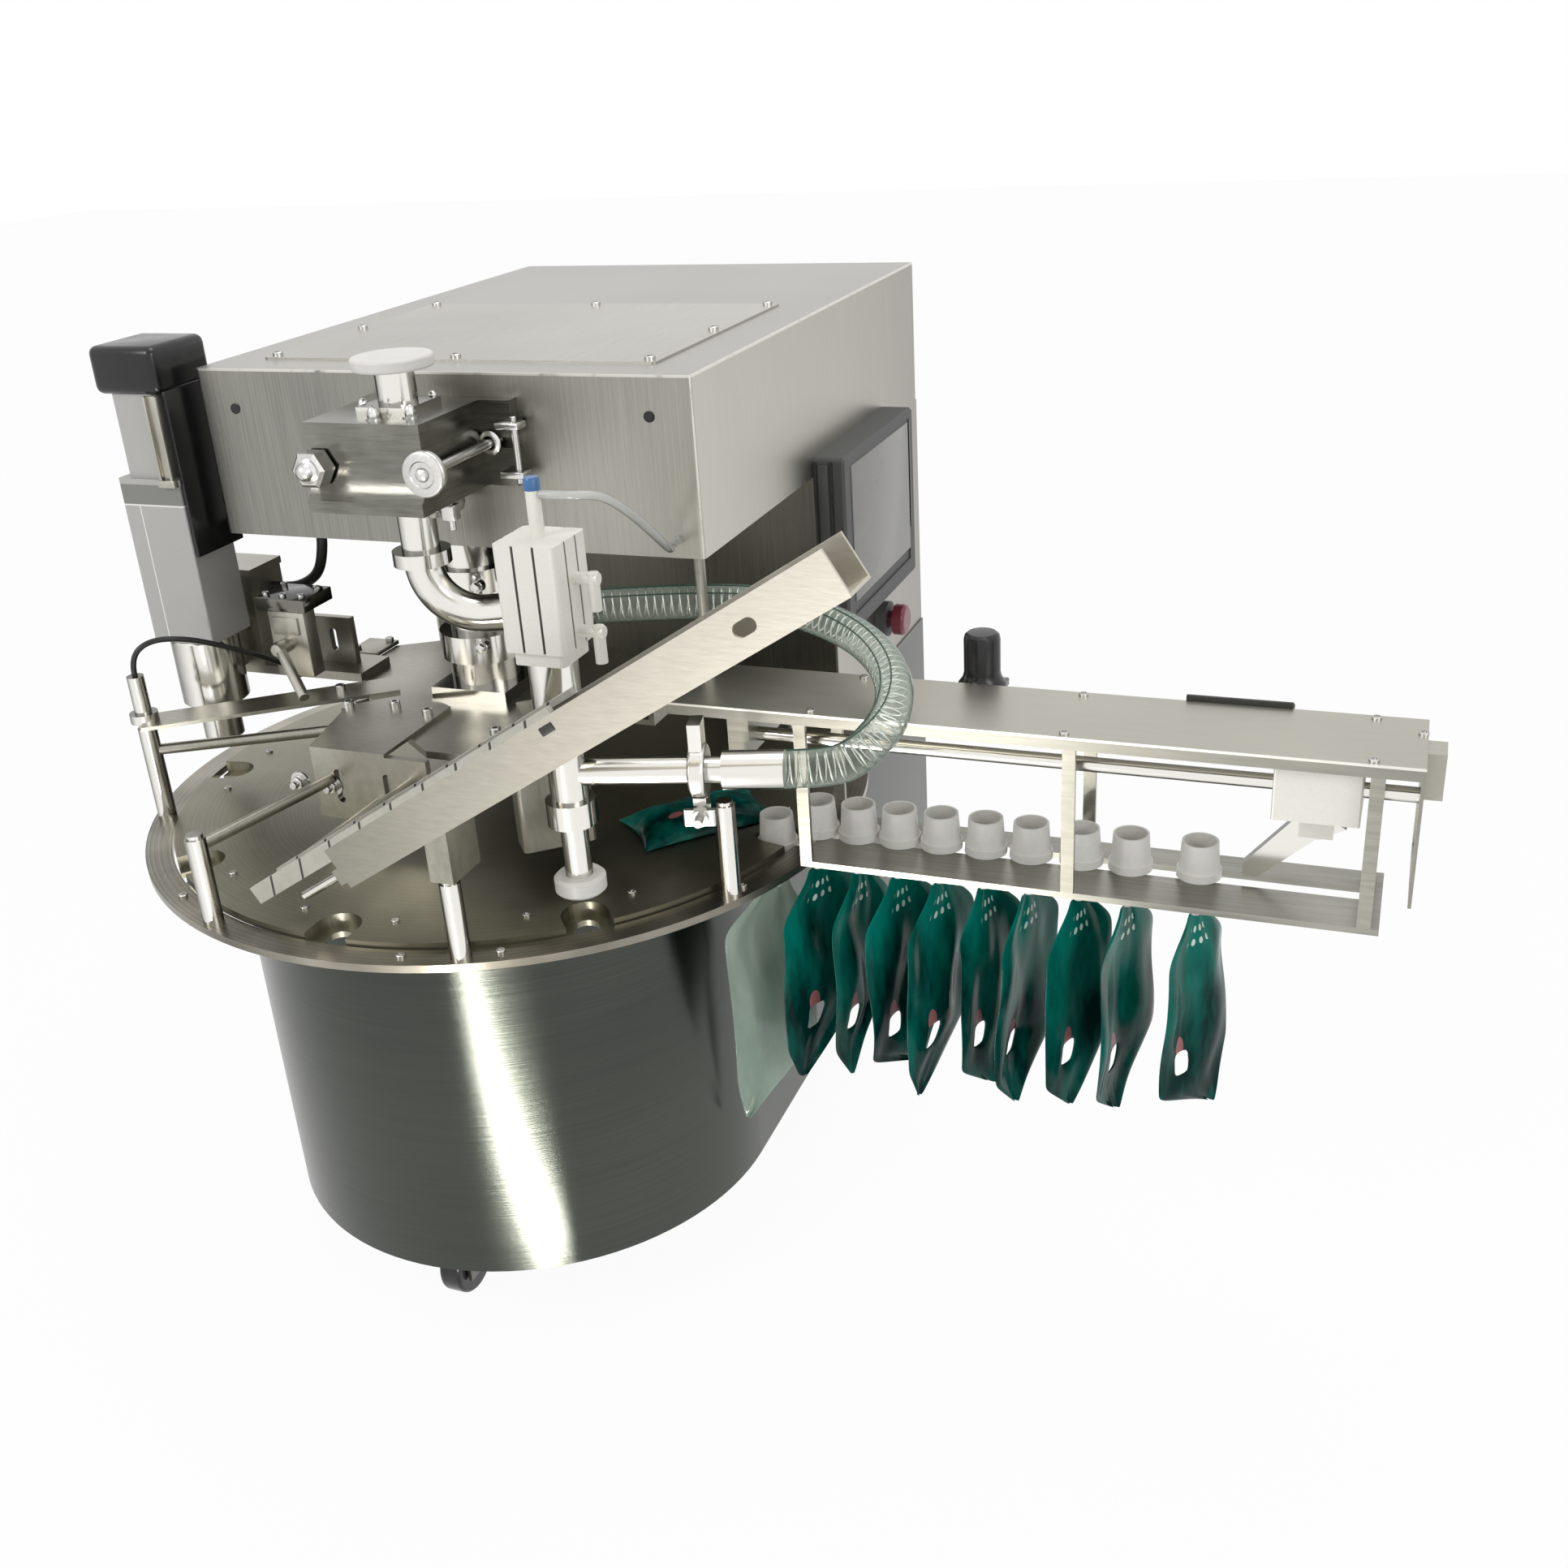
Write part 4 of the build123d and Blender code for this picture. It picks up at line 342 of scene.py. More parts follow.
def raise_piece(name, shape, body, finish, *replaced):
    """Turns a bmesh into an object that rides on a body and wears a finish."""
    mesh = bpy.data.meshes.new(name)
    shape.to_mesh(mesh)
    shape.free()
    piece = bpy.data.objects.new(name, mesh)
    bpy.context.collection.objects.link(piece)
    mesh.polygons.foreach_set("use_smooth", [True] * len(mesh.polygons))
    mesh.set_sharp_from_angle(angle=sharp_angle)
    finish.give(piece)
    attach(piece, body)
    if replaced:
        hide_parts(*replaced)
    return piece


up, forward, leftward = (0, 0, 1), (0, -1, 0), (-1, 0, 0)
lid_left, lid_right, lid_front, lid_back, lid_top, lid_inset = -234, 224, -4, 338, 997, 11
lid_middle = ((lid_left + lid_right) / 2, (lid_front + lid_back) / 2)
lid_screws = bmesh.new()
for x in (lid_left + lid_inset, lid_middle[0], lid_right - lid_inset):
    for y in (lid_front + lid_inset, lid_middle[1], lid_back - lid_inset):
        if (x, y) != lid_middle:
            screw(lid_screws, (x, y, lid_top), up, 11, 4)
raise_piece("lid_screws", lid_screws, "machine", screw_steel)

wall_front = -56
hole_plugs = bmesh.new()
for x, z, radius in ((-240, 954, 5.5), (237, 956, 5.5), (103, 951, 2.2)):
    plug_profile = [(0, 0.3), (radius * 0.7, 0.3), (radius, 0), (radius, 1), (radius * 0.8, 1.4), (0, 0.8)]
    turned(hole_plugs, plug_profile, aim(at(x, wall_front, z), forward))
raise_piece("hole_plugs", hole_plugs, "machine", black_gloss)

# Table: a fixed ring round the indexing disc, with pockets cut in the disc's rim and inserts under it.
# Both are ground in circles. Screws hold the ring down, and two beside each pocket hold its insert.
table_x, table_y = at(0, 0, 0)[:2]


def ground_in_circles(name, light, dark, rough):
    """Ground plate: rings about the table's axis, with soft broad patches."""
    finish = Finish(name, Metallic=1.0)
    centred = finish.node("ShaderNodeMapping", Vector=finish.place(), Location=(-table_x, -table_y, 0))
    flat = finish.node("ShaderNodeVectorMath", {"operation": "MULTIPLY"}, centred, (1, 1, 0))
    radius = finish.node("ShaderNodeVectorMath", {"operation": "LENGTH"}, flat, output="Value")
    rings = finish.node("ShaderNodeTexNoise", {"noise_dimensions": "1D"}, W=radius * rings_per_metre,
                        Scale=1.0, Detail=2.0)
    broad = finish.grain(5)
    finish.drive(
        Base_Color=finish.blend(finish.spread(rings * fine_share + broad * (1 - fine_share)), dark, light),
        Roughness=broad * 0.2 + (rough - 0.1),
        Normal=finish.bump(rings, scratch_depth / 2, line_strength),
    )
    return finish


rings_per_metre = 700
ring_steel = ground_in_circles("ring_steel", (0.46, 0.43, 0.365), (0.14, 0.13, 0.105), 0.3)
ring_steel.give("table_ring")
disc_steel = ground_in_circles("disc_steel", (0.33, 0.315, 0.25), (0.19, 0.18, 0.135), 0.38)
disc_steel.give("turntable_disc", "pocket_inserts")
ring_circle, ring_top, disc_circle, disc_top = 384, 524, 331, 530
pockets, first_pocket, screw_shift = 9, 10, 11
ring_screws = bmesh.new()
for degrees in (-121, -77, -63, -26, 28, 62, 118, 152):
    screw(ring_screws, around(ring_circle, degrees, ring_top), up, 9, 3)
raise_piece("ring_screws", ring_screws, "machine", screw_steel)
disc_screws = bmesh.new()
for pocket in range(pockets):
    for shift in (-screw_shift, screw_shift):
        degrees = first_pocket + 360 / pockets * pocket + shift
        screw(disc_screws, around(disc_circle, degrees, disc_top), up, 8, 2.5)
raise_piece("disc_screws", disc_screws, "turntable", screw_steel)

# Tool plate and mast: a thick plate over the table, on a polished mast that two split collars hold.
# A screw closes each collar, and socket-head screws hold the plate. The guide arms and brackets match it.
plate_steel = brushed("plate_steel", (0.50, 0.48, 0.42), (0.30, 0.29, 0.245), (300, 90, 60), (90, 300, 60),
                      0.34, patches=5)
plate_steel.give("tool_plate", "guide_arms", "nozzle_bracket", "chute_supports")


def polished(name, light, dark):
    """Polished stainless: nearly a mirror, with a painted reflection that darkens it towards its edges,
    faint lathe lines and tarnish.
    """
    finish = Finish(name, Metallic=1.0)
    lathe = finish.grain((30, 30, 500), 2.0)
    haze = finish.grain(25)
    # Painted reflection: bright where the surface faces the eye and dark where it turns away, broken by
    # tarnish.
    edge_reflection_and_tarnish = finish.spread(finish.edge(0.45) + haze * 0.12, 0.28, 0.74)
    finish.drive(
        Base_Color=finish.blend(edge_reflection_and_tarnish, light, dark),
        Roughness=haze * 0.12 + lathe * 0.06 + 0.06,
        Normal=finish.bump(lathe, scratch_depth * 0.075, line_strength / 2),
    )
    return finish


bright_steel = polished("bright_steel", (0.86, 0.84, 0.79), (0.10, 0.10, 0.085))
bright_steel.give("mast", "ring_posts", "cap_stop")
tool_plate_top, arm_front, arm_bolt_z = 635, -193, 597
plate_screws = bmesh.new()
for x, y in ((-88, -78), (-40, -90), (-178, -49), (-140, -89), (60, -120), (110, -60)):
    turned(plate_screws, [(0, 0), (9, 0), (9, 1.6), (0, 1.6)], aim(at(x, y, tool_plate_top), up))
    screw(plate_screws, (x, y, tool_plate_top + 1.5), up, 11.5, 10)
for x in (-138, -97):
    turned(plate_screws, [(0, -1), (11, -1), (11, 1), (0, 1)], aim(at(x, arm_front, arm_bolt_z), forward))
    hexagon(plate_screws, (x, arm_front - 1, arm_bolt_z), forward, 15, 7)
    rod(plate_screws, (x, arm_front - 7, arm_bolt_z), (x, arm_front - 14, arm_bolt_z), 4)
raise_piece("plate_screws", plate_screws, "machine", screw_steel)

collar_screws = bmesh.new()
for x, z in ((6, 700), (10, 768)):
    hexagon(collar_screws, (x, -38, z), forward, 11, 6)
    rod(collar_screws, (x, -30, z), (x, -38.5, z), 6.5)
raise_piece("collar_screws", collar_screws, "machine", screw_steel)

# Product valve: a milled block with a rounded groove, on a stepped flange, with the inlet plate above.
# Domed nuts hold the plate, a pin through two ears carries an eye, and both knobs have turned faces.
mill_marks = (30, 30, 300)
milled_steel = brushed("milled_steel", (0.27, 0.265, 0.235), (0.12, 0.12, 0.105), mill_marks, mill_marks,
                       0.24, patches=11)
milled_steel.give("product_valve")
bright_steel.give("inlet_tube", "outlet_elbow", "product_pipe")
bright_steel.give("nozzle_body", "nozzle_stem", "dosing_piston")
screw_steel.give("clamp_knob_left", "clamp_knob_right", "wing_nut")
front_steel.give("dosing_drive")
inlet, inlet_plate_top, knob_z = (8, -125), 972, 931
inlet_nuts = bmesh.new()
for degrees in (188, 262, 318, 62):
    acorn(inlet_nuts, around(37, degrees, inlet_plate_top, inlet), up, 12, 13)
raise_piece("inlet_nuts", inlet_nuts, "machine", screw_steel)
hinge_pin = bmesh.new()
pin_x, pin_y, eye_x = 101, -76, 72
for z in (898, 946):
    block(hinge_pin, (84, pin_y - 9, z), (pin_x + 9, pin_y + 9, z + 7), 1.5)
rod(hinge_pin, (pin_x, pin_y, 892), (pin_x, pin_y, 958), 3.5)
eye_profile = [(9, -2), (12, 0), (9, 2), (7, 2), (6, 0), (7, -2), (9, -2)]
turned(hinge_pin, eye_profile, aim(at(eye_x, pin_y, knob_z), forward))
raise_piece("hinge_pin", hinge_pin, "machine", screw_steel)
left_dome = bmesh.new()
turned(left_dome, [(0, -0.5), (12, -0.5), (12, 1), (10.5, 2), (9, 3), (7.5, 7), (4.5, 9.5), (0, 10.5)],
       aim(at(-52, -203, knob_z), forward))
raise_piece("left_knob_dome", left_dome, "clamp_knob_left", screw_steel)
right_face = bmesh.new()
turned(right_face, [(0, -0.5), (21, -0.5), (21, 0.6), (19, 1.4), (13, 1.8), (12, 0.6), (7, 0.6), (5.5, 4),
                    (3, 5.5), (0, 6)], aim(at(72, -199, knob_z), forward), 36)
raise_piece("right_knob_face", right_face, "clamp_knob_right", screw_steel)

# Inlet cap, nozzle foot and the chute's strips: white plastic, a little grey in the tool marks.
# The strips are greyer with rubbing, and dark seams cross them.
white_plastic = mottled("white_plastic", (60, 60, 300), (0.66, 0.65, 0.62), (0.80, 0.79, 0.76), 0.35, 0.2,
                        0.0002, 2.0, Specular_IOR_Level=0.4, Subsurface_Weight=0.15, Subsurface_Scale=0.004)
white_plastic.give("inlet_cap", "nozzle_foot")
strip_plastic = Finish("strip_plastic", Specular_IOR_Level=0.3)
seams_per_metre, seam_share = 27, 0.07
rubbing = strip_plastic.grain(80)
rubbed = strip_plastic.blend(rubbing, (0.42, 0.41, 0.35), (0.60, 0.585, 0.51))
run = strip_plastic.along("X") * seams_per_metre
strip_plastic.drive(
    Base_Color=strip_plastic.blend(run.maths("FRACT", run) < seam_share, rubbed, (0.06, 0.055, 0.045)),
    Roughness=rubbing * 0.2 + 0.35,
)
strip_plastic.give("chute_strips")

# Clamp on the outlet: a hinged band that holds the elbow to the valve, closed by a bolt and a nut.
# It is polished like the tube, on which it sits.
outlet_clamp = bmesh.new()
band_profile = [(29, -7), (34, -6), (36, 0), (34, 6), (29, 7), (29, -7)]
turned(outlet_clamp, band_profile, aim(at(inlet[0], -100, 874), up), 36)
block(outlet_clamp, (40, -130, 866), (54, -116, 882), 1.5)
rod(outlet_clamp, (47, -123, 856), (47, -123, 892), 3.5)
hexagon(outlet_clamp, (47, -123, 884), up, 11, 6)
raise_piece("outlet_clamp", outlet_clamp, "machine", screw_steel)


# Product hose: clear vinyl with a steel spiral in its wall, from the elbow round to the nozzle's pipe.
# The wall looks green where it is seen edge-on, and two thin dark lines run along it.
def flexible(name, points, diameter, body, finish, turns=12):
    """A cord on one smooth spline through its route's points, given in millimetres."""
    line = bpy.data.curves.new(name, "CURVE")
    line.dimensions = "3D"
    spline = line.splines.new("NURBS")
    spline.points.add(len(points) - 1)
    for knot, point in zip(spline.points, points):
        knot.co = (*at(*point), 1)
    spline.order_u = 3
    spline.use_endpoint_u = True
    spline.resolution_u = turns
    piece = bpy.data.objects.new(name, line)
    bpy.context.collection.objects.link(piece)
    bpy.context.view_layer.update()
    bare = bpy.data.meshes.new_from_object(piece)
    middle = [vert.co.copy() for vert in bare.vertices]
    bpy.data.meshes.remove(bare)
    line.bevel_depth = diameter / 2000
    line.bevel_resolution = 6
    line.use_fill_caps = True
    finish.give(piece)
    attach(piece, body)
    return piece, middle


def traced(name, places, radius, sides, finish):
    """A thin line bent through places in metres, fixed to the machine."""
    line = bpy.data.curves.new(name, "CURVE")
    line.dimensions = "3D"
    bends = line.splines.new("POLY")
    bends.points.add(len(places) - 1)
    for knot, place in zip(bends.points, places):
        knot.co = (*place, 1)
    line.bevel_depth = radius
    line.bevel_resolution = sides
    piece = bpy.data.objects.new(name, line)
    bpy.context.collection.objects.link(piece)
    finish.give(piece)
    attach(piece, "machine")
    return piece


def evenly(middle, step):
    """Places along a line, one step apart, with the direction there."""
    places, carried = [], 0.0
    for start, end in zip(middle, middle[1:]):
        run = (end - start).length
        while carried < run:
            places.append((start.lerp(end, carried / run), (end - start).normalized()))
            carried += step
        carried -= run
    return places


hose_vinyl = Finish("hose_vinyl", Specular_IOR_Level=0.6)
ripple = hose_vinyl.grain(90)
hose_edge = hose_vinyl.edge()
hose_wall = hose_vinyl.blend(ripple, (0.36, 0.43, 0.36), (0.58, 0.65, 0.56))
hose_vinyl.drive(
    Base_Color=hose_vinyl.blend(hose_vinyl.spread(hose_edge, 0.45, 0.95), hose_wall, (0.05, 0.13, 0.095)),
    Roughness=ripple * 0.1 + 0.05,
    Alpha=hose_edge * 0.65 + 0.16,
    Normal=hose_vinyl.bump(ripple, 0.0006),
)
# The spiral wire has a painted reflection: bright where it faces the eye and dark where it turns away,
# broken by wear.
wire_steel = Finish("wire_steel", Metallic=0.7)
wire_wear = wire_steel.grain(300)
wire_reflection_and_wear = wire_steel.spread(wire_steel.edge() + wire_wear * 0.3, 0.45, 0.75)
wire_steel.drive(
    Base_Color=wire_steel.blend(wire_reflection_and_wear, (0.86, 0.90, 0.84), (0.05, 0.075, 0.06)),
    Roughness=wire_wear * 0.2 + 0.2,
)
hose_points = ((160.985, -63.19, 765), (239.80, -31.35, 765), (328, -10, 762), (386, -26, 756),
               (435, -48, 747), (470, -78, 736), (492, -114, 723), (497, -153, 706), (482, -187, 689),
               (458.74, -202.67, 678), (416.24, -214.06, 678))
hose_diameter, hose_length = 36, 536
product_hose, hose_line = flexible("clear_hose", hose_points, hose_diameter, "machine", hose_vinyl, 16)
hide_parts("product_hose")
spiral_pitch, spiral_steps, spiral_radius, wire_radius = 0.0085, 14, 0.0164, 0.0011
stations = evenly(hose_line, spiral_pitch / spiral_steps)
side = stations[0][1].orthogonal().normalized()
wound = []
for count, (place, ahead) in enumerate(stations):
    side = (side - ahead * side.dot(ahead)).normalized()
    turn = math.tau * count / spiral_steps
    wound.append(place + spiral_radius * (side * math.cos(turn) + ahead.cross(side) * math.sin(turn)))
hose_spiral = traced("hose_spiral", wound, wire_radius, 1, wire_steel)
stripe_green = mottled("stripe_green", 60, (0.004, 0.03, 0.02), (0.012, 0.07, 0.045), 0.3)
stripe_step, stripe_radius = 0.004, 0.0007
for number, degrees in enumerate((8, 44), 1):
    lean = math.radians(degrees)
    drawn = []
    for place, ahead in evenly(hose_line, stripe_step):
        inward = ahead.cross(Vector(up)).normalized()
        outward = inward.cross(ahead) * math.cos(lean) + inward * math.sin(lean)
        drawn.append(place + hose_diameter / 2000 * outward)
    traced(f"hose_stripe_{number}", drawn, stripe_radius, 4, stripe_green)
tuple(at(*hose_points[0]))

# Air cylinder over the nozzle: square extruded aluminium, anodised a warm white, with push-in fittings.
# Its grooves are strips of painted shade, and a clear air tube leads back from its blue fitting to the
# housing.
anodised = mottled("anodised", 500, (0.76, 0.745, 0.68), (0.88, 0.865, 0.80), 0.38, 0.15, Metallic=0.2)
anodised.give("air_cylinder", "pusher_carriage")
shade_and_black = mottled("shade_and_black", 200, (0.012, 0.012, 0.011), (0.04, 0.039, 0.034), 0.45)
cylinder_x, cylinder_y = 223, -265.8
groove_foot, groove_top, groove_in, groove_out, groove_half = 804, 899, 27, 29.4, 1.2
# Painted shade: dark strips where the grooves are.
grooves = bmesh.new()
for offset in (-10, 10):
    near, far = offset - groove_half, offset + groove_half
    block(grooves, (cylinder_x + near, cylinder_y - groove_out, groove_foot),
          (cylinder_x + far, cylinder_y - groove_in, groove_top), 0.2)
    block(grooves, (cylinder_x + groove_in, cylinder_y + near, groove_foot),
          (cylinder_x + groove_out, cylinder_y + far, groove_top), 0.2)
raise_piece("cylinder_grooves", grooves, "machine", shade_and_black)
fitting_blue = mottled("fitting_blue", 150, (0.03, 0.12, 0.32), (0.06, 0.18, 0.42), 0.25, Coat_Weight=0.2)
fittings = bmesh.new()
turned(fittings, [(0, 0), (7.2, 0), (7.2, 9), (6, 11), (0, 11.5)], aim(at(cylinder_x, cylinder_y, 941), up))
raise_piece("tube_fitting", fittings, "machine", fitting_blue)

tube_vinyl = Finish("tube_vinyl", Specular_IOR_Level=0.5)
tube_edge = tube_vinyl.edge()
tube_haze = tube_vinyl.grain(120)
tube_vinyl.drive(
    Base_Color=tube_vinyl.blend(tube_edge, (0.82, 0.83, 0.80), (0.25, 0.26, 0.24)),
    Roughness=tube_haze * 0.1 + 0.08,
    Alpha=tube_edge * 0.5 + 0.45,
)
tube_points = ((229.55, -265.82, 937), (257.55, -265.82, 937), (280, -248, 934), (292, -218, 908),
               (292, -178, 878), (283, -138, 855), (269, -100, 841), (256, -74, 836), (256, -56, 836))
tube_diameter, tube_length = 8, 282
air_tube, _ = flexible("clear_air_tube", tube_points, tube_diameter, "machine", tube_vinyl)
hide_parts("air_tube")
tuple(at(*tube_points[0]))

# Cap chute: a bent channel of satin steel, held by a saddle, rods and a brace, with painted shade in the gap
# on top.
# The steel has painted light and shade: grey at the foot, and warmer and paler towards the head.
chute_steel = brushed("chute_steel", (0.42, 0.40, 0.35), (0.30, 0.29, 0.25), (90, 90, 300), (60, 60, 300),
                      0.42, patches=3)
chute_left, chute_right = (corner[0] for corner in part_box("cap_chute"))
# Painted light and shade: darker at the foot, and paler and warmer towards the head.
climb = chute_steel.spread(chute_steel.along("X"), chute_left, chute_right)
chute_shaded_foot = chute_steel.blend(chute_steel.tone, (0.25, 0.24, 0.205), (0.33, 0.32, 0.27))
chute_steel.drive(Base_Color=chute_steel.blend(climb * 0.8, chute_shaded_foot, (0.68, 0.645, 0.57)))
chute_steel.give("cap_chute")
chute_slope = Matrix.Rotation(math.radians(-32), 4, "Y")
# Painted shade: a dark block in the gap on top of the chute.
chute_gap = bmesh.new()
block(chute_gap, (262, -371, 764), (277, -352, 772), 1, chute_slope)
raise_piece("chute_gap", chute_gap, "machine", shade_and_black)

# Capping head and its tower: a satin grey body that slides, with a black moulded motor cap on its top.
# A dark band crosses its front, with painted highlights along a seam under it and down a plate joint, and a
# black plate covers its right side.
capper_grey = Finish("capper_grey", Metallic=0.3)
sand = capper_grey.grain(600)
height = capper_grey.along("Z")
band_foot, band_top, line_soft = 0.857, 0.879, 0.0003
joint_left, joint_right = (at(edge, 0, 0)[0] for edge in (-360.2, -358.9))
# Painted highlights: thin bright lines along the seam under the band and down the plate joint.
seam = capper_grey.between(height, band_foot - 0.0015, band_foot + 0.0002, line_soft)
lower = height < band_foot
joint_highlight = lower * capper_grey.between(capper_grey.along("X"), joint_left, joint_right, line_soft)
band = capper_grey.between(height, band_foot, band_top, 0.0004)
body_tone = capper_grey.blend(sand, (0.42, 0.415, 0.40), (0.50, 0.495, 0.475))
banded = capper_grey.blend(band, body_tone, (0.24, 0.24, 0.225))
capper_grey.drive(
    Base_Color=capper_grey.blend(seam.maths("MAXIMUM", seam, joint_highlight), banded, (0.85, 0.84, 0.80)),
    Roughness=sand * 0.12 + 0.36,
)
capper_grey.give("capper_head")
tower_steel = brushed("tower_steel", (0.52, 0.50, 0.44), (0.38, 0.365, 0.32), (90, 300, 60), (300, 90, 60),
                      0.38, patches=6)
tower_steel.give("capper_tower")
bright_steel.give("cap_sensor", "capper_chuck")
motor_cap = bmesh.new()
block(motor_cap, (-384, -97, 974), (-299.5, -9, 1024), 9, segments=4)
block(motor_cap, (-300.5, -92, 800), (-296.5, -16, 978), 1)
raise_piece("motor_cap", motor_cap, "capper_head", black_gloss)
corner_rail = bmesh.new()
for low, high, broken in (
    ((-321, -100, 884), (-317.5, -94, 974), 0.8),
    ((-307.5, -100, 884), (-303.5, -94, 974), 0.8),
    ((-318, -96.5, 888), (-307, -94, 974), 0.4),
    ((-323, -101, 878), (-301.5, -94, 886), 1),
):
    block(corner_rail, low, high, broken)
raise_piece("corner_rail", corner_rail, "capper_head", tower_steel)
head_fittings = bmesh.new()
for z in (822, 776):
    turned(head_fittings, [(0, 0), (6, 0), (6, 5), (4.5, 6), (4.5, 10), (3, 10), (3, 6), (0, 6)],
           aim(at(-381.4, -60, z), leftward))
raise_piece("head_fittings", head_fittings, "capper_head", screw_steel)

lever_x, lever_z = -241, 688
clamp_lever = bmesh.new()
block(clamp_lever, (-262, -44, 650), (-214, -22.5, 726), 1.5)
block(clamp_lever, (-255, -47, 700), (-222, -43, 720), 0.6)
rod(clamp_lever, (lever_x, -43, lever_z), (lever_x, -62, lever_z), 8)
rod(clamp_lever, (lever_x, -60, lever_z), (-188, -100, 650), 6)
turned(clamp_lever, [(0, -9), (7, -7), (9, 0), (7, 7), (0, 9)], aim(at(lever_x, -60, lever_z), forward))
block(clamp_lever, (-246, 64, 635), (-205, 112, 640), 1)
raise_piece("clamp_lever", clamp_lever, "machine", tower_steel)
dark_plate = polished("dark_plate", (0.20, 0.195, 0.17), (0.02, 0.02, 0.018))
top_plate_z, foot_plate_z = 742, 640
top_plate = bmesh.new()
block(top_plate, (-273, -48, 727), (-208, 6, top_plate_z), 1.5)
raise_piece("tower_top_plate", top_plate, "machine", dark_plate)
tower_screws = bmesh.new()
for x, y in ((-264, -38), (-264, -4), (-240, -40), (-217, -38), (-217, -8)):
    screw(tower_screws, (x, y, top_plate_z), up, 8, 4)
for x, y in ((-237, 72), (-213, 105)):
    hexagon(tower_screws, (x, y, foot_plate_z), up, 10, 5)
raise_piece("tower_screws", tower_screws, "machine", screw_steel)

# Cables: a black sensor cable over the table's edge, and the drive's thicker cable up to the housing.
# Both have a soft matt jacket.
cable_jacket = mottled("cable_jacket", 200, (0.004, 0.004, 0.004), (0.014, 0.014, 0.014), 0.3)
tower_front, tower_right = -11, -305.7
sensor_diameter, sensor_length, drive_diameter, drive_length = 6, 243, 12, 146
sensor_points = ((-344.5, -174, 691), (-344.5, -174, 712), (-328, -160, 728), (-304, -132, 722),
                 (-282, -98, 702), (-264, -62, 678), (-256, -34, 658), (-254, tower_front - 16, 640),
                 (-254, tower_front, 640))
sensor_cable, _ = flexible("sensor_lead", sensor_points, sensor_diameter, "machine", cable_jacket)
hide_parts("sensor_cable")
tuple(at(*sensor_points[0]))
drive_points = ((tower_right, 30, 728), (tower_right + 24, 30, 728), (-256, 28, 736), (-234, 25, 752),
                (-222, 22, 782), (-220, 22, 804), (-220, 22, 818))
drive_cable, _ = flexible("drive_lead", drive_points, drive_diameter, "machine", cable_jacket)
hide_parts("drive_cable")
tuple(at(*drive_points[0]))

# Operator panel: a dark moulded frame on the housing's right side, with a blank pale screen.
# A thin trim line runs down beside the screen, and the emergency stop sits below on its collar.
panel_plastic = mottled("panel_plastic", 900, (0.075, 0.078, 0.075), (0.10, 0.104, 0.10), 0.4, 0.2, 0.0001,
                        Specular_IOR_Level=0.3)
panel_plastic.give("operator_panel", "estop_collar")
screen_glass = mottled("screen_glass", (14, 14, 30), (0.24, 0.235, 0.225), (0.33, 0.325, 0.31), 0.2,
                       Specular_IOR_Level=0.3)
screen = bmesh.new()
block(screen, (319, 282, 664), (321.2, 504, 826), 0.8)
raise_piece("panel_screen", screen, "machine", screen_glass)
trim = bmesh.new()
block(trim, (319.4, 508, 690), (321.4, 512, 828), 0.4)
block(trim, (283.5, 256.2, 634), (287.5, 258.6, 836), 0.6)
block(trim, (303, 256.2, 634), (306.5, 258.6, 836), 0.6)
raise_piece("panel_trim", trim, "machine", black_gloss)
side_bar = bmesh.new()
block(side_bar, (289, 255.6, 640), (301, 258.6, 832), 1.2)
raise_piece("panel_side_bar", side_bar, "machine", panel_plastic)

stop_red = mottled("stop_red", 120, (0.15, 0.018, 0.032), (0.24, 0.03, 0.05), 0.3, 0.15, Coat_Weight=0.3)
stop_red.give("estop_button")

# Infeed rail: satin steel plates and a folded cover, chromed rods, and a pusher with a steel pawl.
# The cover's top fold has a painted highlight and its front flange painted shade, and screws hold its top. A
# black filter and a dark angle stand behind it.
cross_brush, cross_brush_front = (20, 500, 20), (20, 500, 200)
rail_steel = brushed("rail_steel", (0.44, 0.425, 0.37), (0.24, 0.235, 0.20), cross_brush, cross_brush_front,
                     0.36, patches=3)
rail_steel.give("rail_hangers")
cover_low, cover_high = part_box("rail_cover")
cover_steel = brushed("cover_steel", (0.54, 0.52, 0.455), (0.47, 0.455, 0.40), cross_brush,
                      cross_brush_front, 0.38, patches=3)
# Painted shade darkens the front flange, and a painted highlight runs along its top fold.
flange_front = cover_steel.along("Y") < cover_low[1] + fold / 2
crest_highlight = cover_steel.along("Z") > cover_high[2] - fold
cover_tone = cover_steel.blend(cover_steel.tone, (0.41, 0.395, 0.345), (0.48, 0.465, 0.405))
shaded_flange_tone = cover_steel.blend(cover_steel.tone, (0.27, 0.265, 0.235), (0.33, 0.32, 0.28))
flange_shade_and_highlight = cover_steel.blend(crest_highlight, shaded_flange_tone, fold_highlight_colour)
cover_steel.drive(Base_Color=cover_steel.blend(flange_front, cover_tone, flange_shade_and_highlight))
cover_steel.give("rail_cover")
track_steel = brushed("track_steel", (0.44, 0.43, 0.38), (0.24, 0.235, 0.205), (12, 300, 20),
                      (12, 300, 100), 0.3, patches=5)
track_steel.give("rail_plates")
bright_steel.give("guide_rods", "pusher_pawl")
cover_top = 694
cover_screws = bmesh.new()
for x, y in ((648, -23), (649, -117), (910, -23), (950, -50), (912, -117), (407, -117), (430, -23)):
    screw(cover_screws, (x, y, cover_top), up, 9, 2.5)
raise_piece("cover_screws", cover_screws, "machine", screw_steel)
bowl_profile = [(0, -6), (24, -6), (24, -3), (19.5, 3), (18, 9), (18, 43), (17, 47), (14, 49.5), (0, 50.5)]
